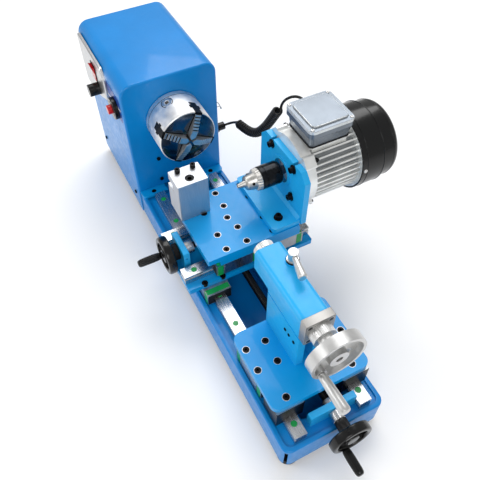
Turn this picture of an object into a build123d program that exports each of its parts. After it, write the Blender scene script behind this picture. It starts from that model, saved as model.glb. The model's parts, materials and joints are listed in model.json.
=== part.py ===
"""A small bench lathe with a motor-driven tool on its cross slide.

Millimetres, +Z up. +X runs along the bed from the headstock to the tailstock, -Y is the operator's
side and +Y the driven tool's side. Lengths along the bed are counted from a datum between the rails,
widths from the spindle's centre plane and heights from the bench. The three reference planes below
move them so that the origin lies in the middle of the footprint, on the bench."""
import math
import os

from build123d import *

# ---- driving dimensions: bed -------------------------------------------------------------------
foot_height = 15.0
foot_radius = 16.0
tray_left = -352.0
tray_right = 420.3
tray_half_width = 84.1
tray_corner = 14.0
rim_top = 66.6
rim_width = 7.0
rim_step = 3.8
tray_wall = 2.5
trough_left = -90.0
trough_right = 386.0
trough_half_width = 38.0
trough_floor = 20.0

rail_width = 20.0
rail_height = 17.5
rail_gauge = 108.0
rail_left = -110.0
rail_right = 410.0
rail_pitch = 60.0
rail_end_margin = 20.0
plug_radius = 4.75
rail_bolt_radius = 3.0
plug_depth = 8.5

# ---- driving dimensions: rail blocks, shared by the saddle, cross slide and tailstock ------------
block_width = 44.0
block_length = 77.5
block_body_length = 50.0
block_height = 30.0
block_lift = 4.6
block_bolts_across = 32.0
block_bolts_along = 36.0
cap_inset = 0.8
running_gap = 0.3

# ---- driving dimensions: headstock ---------------------------------------------------------------
spindle_height = 225.0
cover_left = -364.0
cover_right = -135.4
cover_half_width = 86.7
cover_bottom = 18.0
cover_top = 308.0
cover_wall = 2.0
cover_shoulder = 22.0
cover_edge = 4.0
base_plate_thickness = 5.4
base_plate_front = -117.0
shaft_radius = 20.0
spindle_bore = 8.0
bearing_radius = 31.0
bearing_width = 14.0
fit_clearance = 0.05

# ---- driving dimensions: chuck -------------------------------------------------------------------
chuck_radius = 50.0
chuck_length = 65.0
chuck_face = -69.5
chuck_bore = 10.0
first_jaw_angle = 62.5
jaw_width = 11.0
jaw_root = 3.0
jaw_tip_height = 12.0
jaw_step = 10.0
jaw_clearance = 0.3

# ---- driving dimensions: saddle and cross slide --------------------------------------------------
saddle_left = 4.6
saddle_length = 130.8
saddle_front = -99.2
saddle_width = 230.3
saddle_thickness = 9.9
cross_rail_gauge = 83.2
cross_rail_length = 230.0
cross_block_front = -9.5
cross_block_rear = 73.0
spacer_height = 18.1
spacer_length = 62.0
table_length = 136.6
table_front = -63.7
table_width = 163.1
table_thickness = 11.0
cross_screw_height = 24.3
screw_radius = 6.0
lead_screw_radius = 6.5
lead_screw_y = 6.5
lead_screw_height = 77.0

# ---- driving dimensions: driven tool -------------------------------------------------------------
bracket_base = 9.2
bracket_plate = 10.0
bracket_plate_front = 100.8
bracket_top = 265.0
bracket_base_front = 52.0
motor_radius = 60.0
motor_length = 102.0
bell_length = 19.0
fan_cover_radius = 68.0
fan_cover_end = 283.0
terminal_box_height = 23.0
terminal_lid_height = 17.0
drill_tip = 22.0

# ---- driving dimensions: tailstock and handwheels ------------------------------------------------
tail_base_left = 245.0
tail_base_right = 376.4
tail_base_half_width = 79.2
tail_base_thickness = 10.0
tail_spacer_height = 15.2
tail_block_x = 293.4
support_left = 244.0
support_right = 329.7
support_half_width = 20.0
support_wall = 13.0
housing_left = 206.0
housing_right = 330.0
housing_half_width = 21.5
housing_bottom = 207.0
housing_top = 245.0
quill_radius = 13.0
quill_left = 192.0
quill_right = 300.0
flange_thickness = 12.0
tail_wheel_radius = 40.0
tail_wheel_back = 372.0
tail_wheel_width = 16.0
wheel_radius = 32.0
wheel_width = 15.0
cross_handle_tip = -154.5
lead_handle_tip = 487.0
handle_radius = 7.0
handle_pin_radius = 3.0

# ---- driving dimensions: controls and cord -------------------------------------------------------
bezel_thickness = 5.3
knob_radius = 11.0
knob_x = -255.0
knob_z = 236.0
stop_x = -172.0
stop_z = 248.0
gland_x = -152.0
gland_z = 150.0
gland_end = 105.0
cord_radius = 2.5
coil_radius = 8.25

# ---- derived places ------------------------------------------------------------------------------
mid_x = (cover_left + lead_handle_tip) / 2
mid_y = (cross_handle_tip + fan_cover_end) / 2
rail_seat = rim_top - rim_step
rail_top = rail_seat + rail_height
rail_half_gauge = rail_gauge / 2
block_bottom = rail_seat + block_lift
block_top = rail_seat + block_height
plate_top = rim_top + base_plate_thickness
saddle_right = saddle_left + saddle_length
saddle_mid = saddle_left + saddle_length / 2
saddle_back = saddle_front + saddle_width
saddle_top = block_top + saddle_thickness
cross_half_gauge = cross_rail_gauge / 2
cross_rail_top = saddle_top + rail_height
cross_block_top = saddle_top + block_height
table_bottom = cross_block_top + spacer_height
table_top = table_bottom + table_thickness
table_left = saddle_mid - table_length / 2
table_right = saddle_mid + table_length / 2
table_back = table_front + table_width
cross_screw_z = saddle_top + cross_screw_height
bracket_back = bracket_plate_front + bracket_plate
motor_back = bracket_back + motor_length
tail_base_bottom = block_top + tail_spacer_height
tail_base_top = tail_base_bottom + tail_base_thickness
chuck_back = chuck_face - chuck_length


# ---- reference planes ----------------------------------------------------------------------------
def level(z):
    """Horizontal plane at a height above the bench; local x and y are the machine's X and Y."""
    return Plane(origin=(-mid_x, -mid_y, z))


def across(x):
    """Plane across the bed; local x is the machine's Y, local y its Z, and it faces the tailstock."""
    return Plane(origin=(x - mid_x, -mid_y, 0), x_dir=(0, 1, 0), z_dir=(1, 0, 0))


def along(y):
    """Upright plane along the bed; local x is the machine's X, local y its Z, facing the operator."""
    return Plane(origin=(-mid_x, y - mid_y, 0), x_dir=(1, 0, 0), z_dir=(0, -1, 0))


def moved(points):
    """Machine points moved to the model's origin."""
    return [(x - mid_x, y - mid_y, z) for x, y, z in points]


# ---- shapes used many times ----------------------------------------------------------------------
def slab(x, y, z, corner=0.0, mode=Mode.ADD):
    """Upright prism between two X, two Y and two Z values, with rounded upright corners."""
    with BuildSketch(level(z[0])) as foot:
        with Locations(((x[0] + x[1]) / 2, (y[0] + y[1]) / 2)):
            if corner > 0:
                RectangleRounded(x[1] - x[0], y[1] - y[0], corner)
            else:
                Rectangle(x[1] - x[0], y[1] - y[0])
    extrude(to_extrude=foot.sketch, amount=z[1] - z[0], mode=mode)


def disc(plane, centre, radius, length, mode=Mode.ADD):
    """Round bar that starts on a plane and runs along its normal."""
    with BuildSketch(plane) as face:
        with Locations(centre):
            Circle(radius)
    extrude(to_extrude=face.sketch, amount=length, mode=mode)


def fluted(plane, centre, radius, length, flutes, flute_radius, mode=Mode.ADD):
    """Round bar with grooves along it, for grips, knobs and knurled rings."""
    with BuildSketch(plane) as face:
        with Locations(centre):
            Circle(radius)
            with PolarLocations(radius + flute_radius * 0.5, flutes):
                Circle(flute_radius, mode=Mode.SUBTRACT)
    extrude(to_extrude=face.sketch, amount=length, mode=mode)


def at(plane, points):
    """Places on a plane."""
    return Locations(*[plane.location * Location((u, v, 0)) for u, v in points])


def socket_screws(plane, points, head_radius, head_height, shank_radius, length):
    """Socket head screws whose heads end at a plane and whose shanks run against its normal."""
    down = (Align.CENTER, Align.CENTER, Align.MAX)
    with at(plane, points):
        Cylinder(head_radius, head_height, align=down)
        Cylinder(shank_radius, length, align=down)
    with BuildSketch(plane) as sockets:
        with Locations(*points):
            RegularPolygon(head_radius * 0.55, 6)
    extrude(to_extrude=sockets.sketch, amount=-head_height * 0.6, mode=Mode.SUBTRACT)


def rail_block(x, y, seat, runs_along_bed):
    """Linear rail block with recessed end caps, straddling a rail that sits at the given height."""
    low = seat + block_lift
    high = seat + block_height
    for half_length, inset in ((block_length / 2, cap_inset), (block_body_length / 2, 0.0)):
        half_width = block_width / 2 - inset
        spans = ((x - half_length, x + half_length), (y - half_width, y + half_width))
        if not runs_along_bed:
            spans = ((x - half_width, x + half_width), (y - half_length, y + half_length))
        slab(spans[0], spans[1], (low, high - inset))
    half_slot = rail_width / 2 + running_gap
    ceiling = seat + rail_height + running_gap
    spans = ((x - block_length, x + block_length), (y - half_slot, y + half_slot))
    if not runs_along_bed:
        spans = ((x - half_slot, x + half_slot), (y - block_length, y + block_length))
    slab(spans[0], spans[1], (low, ceiling), mode=Mode.SUBTRACT)


def grid(centres, spacing_x, spacing_y):
    """Corner points of one bolt rectangle round each centre."""
    half_x = spacing_x / 2
    half_y = spacing_y / 2
    signs = ((-1, -1), (-1, 1), (1, -1), (1, 1))
    return [(x + a * half_x, y + b * half_y) for x, y in centres for a, b in signs]


def handwheel(plane, centre, radius, width, web, hub_radius, rim):
    """Dished wheel standing on a plane and opening along its normal."""
    disc(plane, centre, radius, width)
    with BuildSketch(plane.offset(web)) as dish:
        with Locations(centre):
            Circle(radius - rim)
            Circle(hub_radius, mode=Mode.SUBTRACT)
    extrude(to_extrude=dish.sketch, amount=width, mode=Mode.SUBTRACT)


def finish(piece, name):
    """Label a piece and write its file."""
    piece.part.label = name
    export_step(piece.part, f"parts/{name}.step")
    print(name, len(piece.part.solids()), round(piece.part.volume / 1000, 1), "cm3")


os.makedirs("parts", exist_ok=True)

# ==== bed =========================================================================================
trough_wall = trough_half_width + tray_wall
ledge_outer = tray_half_width - rim_width
tray_x = (tray_left, tray_right)
tray_y = (-tray_half_width, tray_half_width)
with BuildPart() as bed_tray:
    slab(tray_x, tray_y, (foot_height, rim_top), tray_corner)
    outer_top = bed_tray.faces().sort_by(Axis.Z)[-1]
    fillet(outer_top.edges(), rim_step * 0.75)
    # The ledge is pressed down inside the rim.
    slab((tray_left + rim_width, tray_right - rim_width), (-ledge_outer, ledge_outer),
         (rail_seat, rim_top), tray_corner - rim_width / 2, Mode.SUBTRACT)
    slab((trough_left, trough_right), (-trough_half_width, trough_half_width),
         (trough_floor, rim_top), 5.0, Mode.SUBTRACT)
    # The pressing is hollow underneath, beside and beyond the trough.
    inner = tray_half_width - tray_wall
    under = (foot_height, rail_seat - tray_wall)
    for side in (-1, 1):
        slab((tray_left + tray_wall, tray_right - tray_wall),
             sorted((side * trough_wall, side * inner)), under, mode=Mode.SUBTRACT)
    for ends in ((tray_left + tray_wall, trough_left - tray_wall),
                 (trough_right + tray_wall, tray_right - tray_wall)):
        slab(ends, (-trough_wall, trough_wall), under, mode=Mode.SUBTRACT)
finish(bed_tray, "bed_tray")

foot_inset = 18.0
foot_x = (tray_left + foot_inset, tray_right - foot_inset)
foot_y = tray_half_width - foot_inset
with BuildPart() as rubber_feet:
    for x in foot_x:
        for side in (-1, 1):
            disc(level(0), (x, side * foot_y), foot_radius, foot_height)
            # The foot's post reaches up under the tray's ledge.
            disc(level(foot_height), (x, side * foot_y), foot_radius * 0.4,
                 rail_seat - tray_wall - foot_height)
    foot_rims = rubber_feet.edges().filter_by(GeomType.CIRCLE).group_by(Axis.Z)[0]
    chamfer(foot_rims, 2.0)
finish(rubber_feet, "rubber_feet")

rail_holes = []
hole_x = rail_left + rail_end_margin
while hole_x < rail_right - rail_end_margin / 2:
    rail_holes.append(hole_x)
    hole_x += rail_pitch
groove_depth = 2.2
groove_height = 5.5
with BuildPart() as bed_rails:
    for side in (-1, 1):
        y = side * rail_half_gauge
        slab((rail_left, rail_right), (y - rail_width / 2, y + rail_width / 2), (rail_seat, rail_top))
        # Ball grooves run along both flanks.
        with BuildSketch(across(rail_left)) as grooves:
            with Locations((y, rail_top - groove_height)):
                with GridLocations(rail_width, 0, 2, 1):
                    Circle(groove_depth)
        extrude(to_extrude=grooves.sketch, amount=rail_right - rail_left, mode=Mode.SUBTRACT)
    with at(level(rail_top), [(x, s * rail_half_gauge) for x in rail_holes for s in (-1, 1)]):
        CounterBoreHole(rail_bolt_radius, plug_radius, plug_depth)
finish(bed_rails, "bed_rails")

# ==== headstock ===================================================================================
tongue_inner = 35.0
cover_inner = cover_half_width - cover_wall
nose_opening = 14.0
with BuildPart() as headstock_base_plate:
    with BuildSketch(level(rim_top)) as plate_shape:
        with Locations(((tray_left + base_plate_front) / 2 + 4, 0)):
            RectangleRounded(base_plate_front - tray_left - 8, 2 * tray_half_width, 8)
        with Locations((base_plate_front, 0)):
            RectangleRounded(2 * (base_plate_front - cover_right + 8), 2 * tongue_inner, 6,
                             mode=Mode.SUBTRACT)
    extrude(to_extrude=plate_shape.sketch, amount=base_plate_thickness)
    tongue_bolts = [(base_plate_front - 9, s * 60) for s in (-1, 1)]
    with at(level(plate_top), tongue_bolts):
        CounterBoreHole(2.6, 4.6, 3.5)
finish(headstock_base_plate, "headstock_base_plate")

front_screws = [(s * 38.3, z) for s in (-1, 1) for z in (88.0, 139.4)]
side_screws = [(x, 52.0) for x in (-340.0, -160.0)]
with BuildPart() as headstock_cover:
    with BuildSketch(across(cover_left)) as cover_outline:
        with Locations((0, (cover_bottom + cover_top) / 2)):
            Rectangle(2 * cover_half_width, cover_top - cover_bottom)
        fillet(cover_outline.vertices().group_by(Axis.Y)[-1], cover_shoulder)
    extrude(to_extrude=cover_outline.sketch, amount=cover_right - cover_left)
    front_edges = headstock_cover.faces().sort_by(Axis.X)[-1].edges()
    rear_edges = headstock_cover.faces().sort_by(Axis.X)[0].edges()
    round_front = front_edges.sort_by(Axis.Z)[1:]
    round_rear = rear_edges.sort_by(Axis.Z)[1:]
    fillet(round_front + round_rear, cover_edge)
    # One folded skin of sheet, open underneath.
    with BuildSketch(across(cover_left + cover_wall)) as hollow:
        with Locations((0, (cover_bottom + cover_top - cover_wall) / 2)):
            Rectangle(2 * cover_inner, cover_top - cover_wall - cover_bottom)
        fillet(hollow.vertices().group_by(Axis.Y)[-1], cover_shoulder - cover_wall)
    extrude(to_extrude=hollow.sketch, amount=cover_right - cover_left - 2 * cover_wall,
            mode=Mode.SUBTRACT)
    # The front skin stops above the tray and the base plate.
    slab((cover_right - 2 * cover_wall, cover_right + 1), (-cover_inner, cover_inner),
         (cover_bottom, plate_top + running_gap), mode=Mode.SUBTRACT)
    disc(across(cover_right - 2 * cover_wall), (0, spindle_height),
         shaft_radius + nose_opening, 3 * cover_wall, Mode.SUBTRACT)
    # Ventilation slots in the rear skin.
    with BuildSketch(across(cover_left - 1)) as vents:
        with Locations((0, 150)):
            with GridLocations(24, 14, 5, 5):
                SlotOverall(18, 5)
    extrude(to_extrude=vents.sketch, amount=2 * cover_wall, mode=Mode.SUBTRACT)
    disc(along(cover_half_width + 1), (gland_x, gland_z), 6.0, 2 * cover_wall, Mode.SUBTRACT)
    with at(across(cover_right), front_screws):
        Hole(2.0, cover_wall)
    with at(along(-cover_half_width), side_screws):
        Hole(2.0, cover_wall)
finish(headstock_cover, "headstock_cover")

cover_screw_radius = 3.6
cover_screw_proud = 2.6
with BuildPart() as cover_screws:
    socket_screws(across(cover_right + cover_screw_proud), front_screws, cover_screw_radius,
                  cover_screw_proud - 0.02, 1.9, cover_screw_proud + 1.0)
    socket_screws(along(-cover_half_width - cover_screw_proud), side_screws, cover_screw_radius,
                  cover_screw_proud - 0.02, 1.9, cover_screw_proud + 1.0)
    socket_screws(level(plate_top), tongue_bolts, 4.5, 3.5, 2.5, 8.0)
finish(cover_screws, "cover_screws")

housing_back = -300.0
housing_front = -152.0
pedestal_half_width = 58.0
pedestal_leg = 14.0
pedestal_arch = 178.0
pedestal_top = spindle_height + 44.0
pedestal_shoulder = 18.0
with BuildPart() as spindle_housing:
    with BuildSketch(across(housing_back)) as arch:
        with Locations((0, (plate_top + pedestal_top) / 2)):
            Rectangle(2 * pedestal_half_width, pedestal_top - plate_top)
        chamfer(arch.vertices().group_by(Axis.Y)[-1], pedestal_shoulder)
        with Locations((0, (plate_top + pedestal_arch) / 2)):
            Rectangle(2 * (pedestal_half_width - pedestal_leg), pedestal_arch - plate_top,
                      mode=Mode.SUBTRACT)
        with Locations((0, spindle_height)):
            Circle(bearing_radius, mode=Mode.SUBTRACT)
    extrude(to_extrude=arch.sketch, amount=housing_front - housing_back)
    # The rolling bearings sit in both mouths of the bore.
    for x in (housing_back, housing_front - bearing_width):
        with BuildSketch(across(x)) as ring:
            with Locations((0, spindle_height)):
                Circle(bearing_radius)
                Circle(shaft_radius + fit_clearance, mode=Mode.SUBTRACT)
        extrude(to_extrude=ring.sketch, amount=bearing_width)
finish(spindle_housing, "spindle_housing")

drive_motor_z = 118.0
drive_motor_radius = 38.0
drive_shaft_radius = 5.0
drive_motor_back = -310.0
drive_motor_length = 140.0
drive_boss_radius = 14.0
drive_boss_length = 6.0
drive_bore_depth = 55.0
cradle_xs = (-290.0, -204.0)
cradle_thickness = 14.0
cradle_half_width = 36.0
cradle_drop = 30.0
pulley_x = -344.0
pulley_width = 18.0
with BuildPart() as drive_motor:
    disc(across(drive_motor_back), (0, drive_motor_z), drive_motor_radius, drive_motor_length)
    drive_boss_end = drive_motor_back - drive_boss_length
    disc(across(drive_boss_end), (0, drive_motor_z), drive_boss_radius, drive_boss_length)
    disc(across(drive_boss_end), (0, drive_motor_z), drive_shaft_radius + fit_clearance,
         drive_boss_length + drive_bore_depth - 1, Mode.SUBTRACT)
    for x in cradle_xs:
        slab((x, x + cradle_thickness), (-cradle_half_width, cradle_half_width),
             (plate_top, drive_motor_z - cradle_drop))
finish(drive_motor, "drive_motor")

belt_gap = 0.4
belt_thickness = 3.0
small_pulley = 14.0
large_pulley = 36.0
pulley_centres = ((0, drive_motor_z), (0, spindle_height))
with BuildPart() as drive_belt:
    for growth, kind in ((belt_gap + belt_thickness, Mode.ADD), (belt_gap, Mode.SUBTRACT)):
        with BuildSketch(across(pulley_x + 3)) as loop:
            for centre, pulley in zip(pulley_centres, (small_pulley, large_pulley)):
                with Locations(centre):
                    Circle(pulley + growth)
            make_hull()
        extrude(to_extrude=loop.sketch, amount=pulley_width - 6, mode=kind)
finish(drive_belt, "drive_belt")

with BuildPart() as motor_pulley:
    disc(across(pulley_x), (0, drive_motor_z), small_pulley, pulley_width)
    disc(across(pulley_x + pulley_width), (0, drive_motor_z), drive_shaft_radius,
         -264.0 - pulley_x - pulley_width)
finish(motor_pulley, "motor_pulley")

# ==== spindle and chuck ===========================================================================
with BuildPart() as spindle_shaft:
    disc(across(pulley_x - 4), (0, spindle_height), shaft_radius, chuck_back - pulley_x + 4)
    disc(across(pulley_x), (0, spindle_height), large_pulley, pulley_width)
    disc(across(housing_front + running_gap), (0, spindle_height), shaft_radius + 8,
         chuck_back - housing_front - running_gap)
    disc(across(pulley_x - 5), (0, spindle_height), spindle_bore, chuck_back - pulley_x + 6,
         Mode.SUBTRACT)
finish(spindle_shaft, "spindle_shaft")

jaw_angles = [first_jaw_angle + 90 * k for k in range(4)]
pinion_angle = first_jaw_angle + 45
slot_depth = 29.0
scroll_thickness = 7.0
scroll_inner = 18.0
scroll_outer = 41.0
scroll_front = chuck_face - slot_depth - 2 * jaw_clearance
scroll_back = scroll_front - scroll_thickness
pinion_radius = 6.0
pinion_head = 7.4
pinion_x = scroll_back - pinion_head - jaw_clearance
guide_width = 5.0
guide_top = 14.0
guide_height = 6.0


def radial(angle, x=0.0):
    """Plane facing outward from the spindle axis at an angle; its local x is +X, so local y turns
    with the spindle."""
    centre = Vector(x - mid_x, -mid_y, spindle_height)
    outward = Vector(0, 1, 0).rotate(Axis.X, angle)
    return Plane(origin=centre, x_dir=(1, 0, 0), z_dir=outward)


def ring_cut(x_from, x_to, inner_radius, outer_radius):
    """Ring-shaped hollow round the spindle axis."""
    with BuildSketch(across(x_from)) as ring:
        with Locations((0, spindle_height)):
            Circle(outer_radius)
            Circle(inner_radius, mode=Mode.SUBTRACT)
    extrude(to_extrude=ring.sketch, amount=x_to - x_from, mode=Mode.SUBTRACT)


def jaw_section(clearance):
    """Cross-section of a jaw or its slot in a plane across the jaw: a bar with a guide rib."""
    depth = slot_depth + clearance
    with BuildSketch(mode=Mode.PRIVATE) as section:
        with Locations((chuck_face - depth / 2, 0)):
            Rectangle(depth, jaw_width + 2 * clearance)
        with Locations((chuck_face - guide_top - guide_height / 2, 0)):
            Rectangle(guide_height + 2 * clearance, jaw_width + guide_width + 2 * clearance)
    return section.sketch


with BuildPart() as chuck_body:
    disc(across(chuck_back), (0, spindle_height), chuck_radius, chuck_length)
    body_rims = chuck_body.edges().filter_by(GeomType.CIRCLE)
    chamfer(body_rims, 1.2)
    disc(across(chuck_back - 1), (0, spindle_height), chuck_bore, chuck_length + 2, Mode.SUBTRACT)
    ring_cut(scroll_back - 2 * pinion_head - 2 * jaw_clearance, scroll_back - jaw_clearance,
             scroll_inner - jaw_clearance, scroll_outer - 2)
    ring_cut(scroll_back - jaw_clearance, scroll_front + jaw_clearance,
             scroll_inner - fit_clearance, scroll_outer + jaw_clearance)
    for angle in jaw_angles:
        with BuildSketch(radial(angle)) as slot:
            add(jaw_section(jaw_clearance))
        extrude(to_extrude=slot.sketch, amount=chuck_radius + 1, mode=Mode.SUBTRACT)
    with BuildSketch(radial(pinion_angle, pinion_x)) as pinion_hole:
        Circle(pinion_radius + fit_clearance)
    extrude(to_extrude=pinion_hole.sketch, amount=chuck_radius + 1, mode=Mode.SUBTRACT)
finish(chuck_body, "chuck_body")

with BuildPart() as chuck_scroll:
    with BuildSketch(across(scroll_back)) as scroll_face:
        with Locations((0, spindle_height)):
            Circle(scroll_outer)
            Circle(scroll_inner, mode=Mode.SUBTRACT)
    extrude(to_extrude=scroll_face.sketch, amount=scroll_thickness)
    for turn in range(3):
        ring_cut(scroll_front - 2, scroll_front + 1, 21.5 + 6 * turn, 24.5 + 6 * turn)
finish(chuck_scroll, "chuck_scroll")

with BuildPart() as chuck_pinion:
    with BuildSketch(radial(pinion_angle, pinion_x).offset(scroll_outer - 3)) as pinion_post:
        Circle(pinion_radius)
    extrude(to_extrude=pinion_post.sketch, amount=chuck_radius - 0.6 - scroll_outer + 3)
    with BuildSketch(radial(pinion_angle, pinion_x).offset(scroll_inner + 8)) as bevel:
        Circle(pinion_head - 1.0)
        with PolarLocations(pinion_head - 1.0, 10):
            Circle(0.9)
    extrude(to_extrude=bevel.sketch, amount=scroll_outer - 3 - scroll_inner - 8)
    with BuildSketch(radial(pinion_angle, pinion_x).offset(chuck_radius)) as key_socket:
        Rectangle(6.5, 6.5)
    extrude(to_extrude=key_socket.sketch, amount=-9, mode=Mode.SUBTRACT)
finish(chuck_pinion, "chuck_pinion")

jaw_length = chuck_radius - 2.0 - jaw_root
for number, angle in enumerate(jaw_angles, start=1):
    with BuildPart() as chuck_jaw:
        with BuildSketch(radial(angle).offset(jaw_root)) as jaw_base:
            add(jaw_section(0.0))
        extrude(to_extrude=jaw_base.sketch, amount=jaw_length)
        # Three steps rise from the rim towards the centre.
        for step in range(3):
            rise = jaw_tip_height * (step + 1) / 3
            run = jaw_length - jaw_step * (step + 1) + 4
            with BuildSketch(radial(angle).offset(jaw_root)) as tread:
                with Locations((chuck_face + rise / 2, 0)):
                    Rectangle(rise, jaw_width)
            extrude(to_extrude=tread.sketch, amount=run)
        # The tip is pointed so that four jaws close on each other.
        for lean in (-45, 45):
            edge = radial(angle).rotated((lean, 0, 0))
            cut = Plane(origin=edge.origin, x_dir=edge.x_dir, z_dir=edge.z_dir)
            split(bisect_by=cut.offset(jaw_clearance + 0.4), keep=Keep.TOP)
    finish(chuck_jaw, f"chuck_jaw_{number}")

# ==== controls on the operator's side =============================================================
bezel_face = cover_half_width + bezel_thickness
bezel_outline = [(-352, 296), (-222, 296), (-208, 278), (-213, 236), (-300, 196), (-352, 196)]
rocker_x = -268.0
rocker_z = 262.0
rocker_half_width = 10.0
rocker_half_height = 14.0
with BuildPart() as control_bezel:
    with BuildSketch(along(-cover_half_width)) as bezel:
        with BuildLine():
            Polyline(*bezel_outline, close=True)
        make_face()
        fillet(bezel.vertices(), 9)
    extrude(to_extrude=bezel.sketch, amount=bezel_thickness)
    chamfer(control_bezel.faces().sort_by(Axis.Y)[0].edges(), 1.5)
    with BuildSketch(along(-cover_half_width - 1.5)) as rocker_window:
        with Locations((rocker_x, rocker_z)):
            Rectangle(2 * rocker_half_width + 0.8, 2 * rocker_half_height + 0.8)
    extrude(to_extrude=rocker_window.sketch, amount=bezel_thickness, mode=Mode.SUBTRACT)
    disc(along(-cover_half_width - 1.5), (knob_x, knob_z), 3.0 + fit_clearance,
         bezel_thickness, Mode.SUBTRACT)
finish(control_bezel, "control_bezel")

with BuildPart() as power_rocker:
    with BuildSketch(Plane(origin=(rocker_x - mid_x - rocker_half_width, -mid_y, 0),
                           x_dir=(0, 1, 0), z_dir=(1, 0, 0))) as rocker_side:
        with BuildLine():
            back = -cover_half_width - bezel_thickness + 0.8
            Polyline((back, rocker_z - rocker_half_height + 2), (back - 3.0, rocker_z - rocker_half_height),
                     (back - 2.4, rocker_z), (back - 7.0, rocker_z + rocker_half_height),
                     (back, rocker_z + rocker_half_height - 2), close=True)
        make_face()
    extrude(to_extrude=rocker_side.sketch, amount=2 * rocker_half_width)
finish(power_rocker, "power_rocker")

knob_length = 20.0
with BuildPart() as speed_knob:
    fluted(along(-bezel_face - running_gap), (knob_x, knob_z), knob_radius, knob_length, 16, 1.1)
    disc(along(-cover_half_width - 1.8), (knob_x, knob_z), 3.0,
         bezel_thickness + running_gap)
finish(speed_knob, "speed_knob")

stop_collar_radius = 18.0
stop_collar = 5.0
stop_body_radius = 13.0
stop_body = 9.0
stop_button_radius = 8.0
with BuildPart() as stop_switch_housing:
    disc(along(-cover_half_width), (stop_x, stop_z), stop_collar_radius, stop_collar)
    disc(along(-cover_half_width), (stop_x, stop_z), stop_body_radius, stop_body)
    disc(along(-cover_half_width - 2), (stop_x, stop_z), stop_button_radius + 0.1, stop_body,
         Mode.SUBTRACT)
finish(stop_switch_housing, "stop_switch_housing")

stop_travel = 3.0
with BuildPart() as stop_button:
    disc(along(-cover_half_width - 2 - stop_travel - running_gap), (stop_x, stop_z),
         stop_button_radius, stop_body + 2)
    fillet(stop_button.faces().sort_by(Axis.Y)[0].edges(), 1.5)
finish(stop_button, "stop_button")

gland_length = gland_end - cover_half_width
with BuildPart() as cable_gland:
    gland_plane = along(gland_end)
    with BuildSketch(along(cover_half_width + 6)) as gland_hex:
        with Locations((gland_x, gland_z)):
            RegularPolygon(10.0, 6)
    extrude(to_extrude=gland_hex.sketch, amount=6 - 0.02)
    disc(gland_plane, (gland_x, gland_z), 7.5, gland_length - 6)
    disc(along(cover_half_width + 1), (gland_x, gland_z), 5.7, 6.0)
    disc(gland_plane, (gland_x, gland_z), cord_radius + 0.3, gland_length + 8, Mode.SUBTRACT)
finish(cable_gland, "cable_gland")

# ==== lead screw and its bearings =================================================================
bearing_thickness = 10.0
head_bearing_x = -104.0
tail_bearing_x = 390.0
tail_bearing_top = 92.0
screw_axis = (lead_screw_y, lead_screw_height)
with BuildPart() as lead_screw_bearings:
    for x, spread in ((head_bearing_x, (-33.0, 43.0)), (tail_bearing_x, (-32.5, 43.5))):
        slab((x, x + bearing_thickness), spread, (rail_seat, tail_bearing_top))
    top_edges = lead_screw_bearings.edges().filter_by(Axis.X).group_by(Axis.Z)[-1]
    chamfer(top_edges, 1.0)
    disc(across(head_bearing_x - 1), screw_axis, lead_screw_radius + fit_clearance,
         tail_bearing_x + bearing_thickness + 2 - head_bearing_x, Mode.SUBTRACT)
finish(lead_screw_bearings, "lead_screw_bearings")

collar_gap = 0.4
collar_radius = 10.0
wheel_back = 433.0
lead_collar_end = 415.0
with BuildPart() as lead_screw:
    disc(across(head_bearing_x - 8), screw_axis, lead_screw_radius,
         wheel_back + wheel_width - 4 - head_bearing_x + 8)
    disc(across(tail_bearing_x + bearing_thickness + collar_gap), screw_axis, collar_radius,
         lead_collar_end - tail_bearing_x - bearing_thickness - collar_gap)
    disc(across(tail_bearing_x - collar_gap - 8), screw_axis, collar_radius, 8)
finish(lead_screw, "lead_screw")

hub_radius = 9.8
lead_handle_y = -3.3
lead_handle_z = 57.8
with BuildPart() as lead_handwheel:
    handwheel(across(wheel_back), screw_axis, wheel_radius, wheel_width, 6.0, hub_radius + 2, 8.0)
    fluted(across(lead_collar_end + 0.02), screw_axis, hub_radius, wheel_back - lead_collar_end, 12, 1.0)
    disc(across(lead_collar_end - 1), screw_axis, lead_screw_radius, wheel_width + 40, Mode.SUBTRACT)
    disc(across(wheel_back), (lead_handle_y, lead_handle_z), handle_radius + 1.5, wheel_width - 2)
    disc(across(wheel_back - 1), (lead_handle_y, lead_handle_z), handle_pin_radius + fit_clearance,
         wheel_width + 2, Mode.SUBTRACT)
    rims = lead_handwheel.faces().sort_by(Axis.X)[-1].edges().sort_by(SortBy.LENGTH)[-1]
    fillet(rims, 2.5)
finish(lead_handwheel, "lead_handwheel")

grip_start = wheel_back + wheel_width
with BuildPart() as lead_handle:
    fluted(across(grip_start), (lead_handle_y, lead_handle_z), handle_radius,
           lead_handle_tip - grip_start, 8, 1.5)
    disc(across(wheel_back + 1), (lead_handle_y, lead_handle_z), handle_pin_radius,
         wheel_width)
finish(lead_handle, "lead_handle")

# ==== saddle ======================================================================================
front_block_overhang = 17.0
front_block_x = saddle_right + front_block_overhang - block_length / 2
saddle_blocks_at = [(front_block_x - s * (block_length + running_gap), y * rail_half_gauge)
                    for s in (0, 1) for y in (-1, 1)]
saddle_bolts = grid(saddle_blocks_at, block_bolts_along, block_bolts_across)
cross_rails_at = (saddle_mid - cross_half_gauge, saddle_mid + cross_half_gauge)
bolt_radius = 3.0
bolt_hole = 3.2
head_radius = 5.0
head_height = 5.6
head_sink = 6.0
thread_depth = 9.0
with BuildPart() as saddle_plate:
    slab((saddle_left, saddle_right), (saddle_front, saddle_back), (block_top, saddle_top))
    chamfer(saddle_plate.edges().filter_by(Axis.Z), 1.5)
    with at(level(saddle_top), saddle_bolts):
        CounterBoreHole(bolt_hole, head_radius + 0.4, head_sink)
finish(saddle_plate, "saddle_plate")

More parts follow.
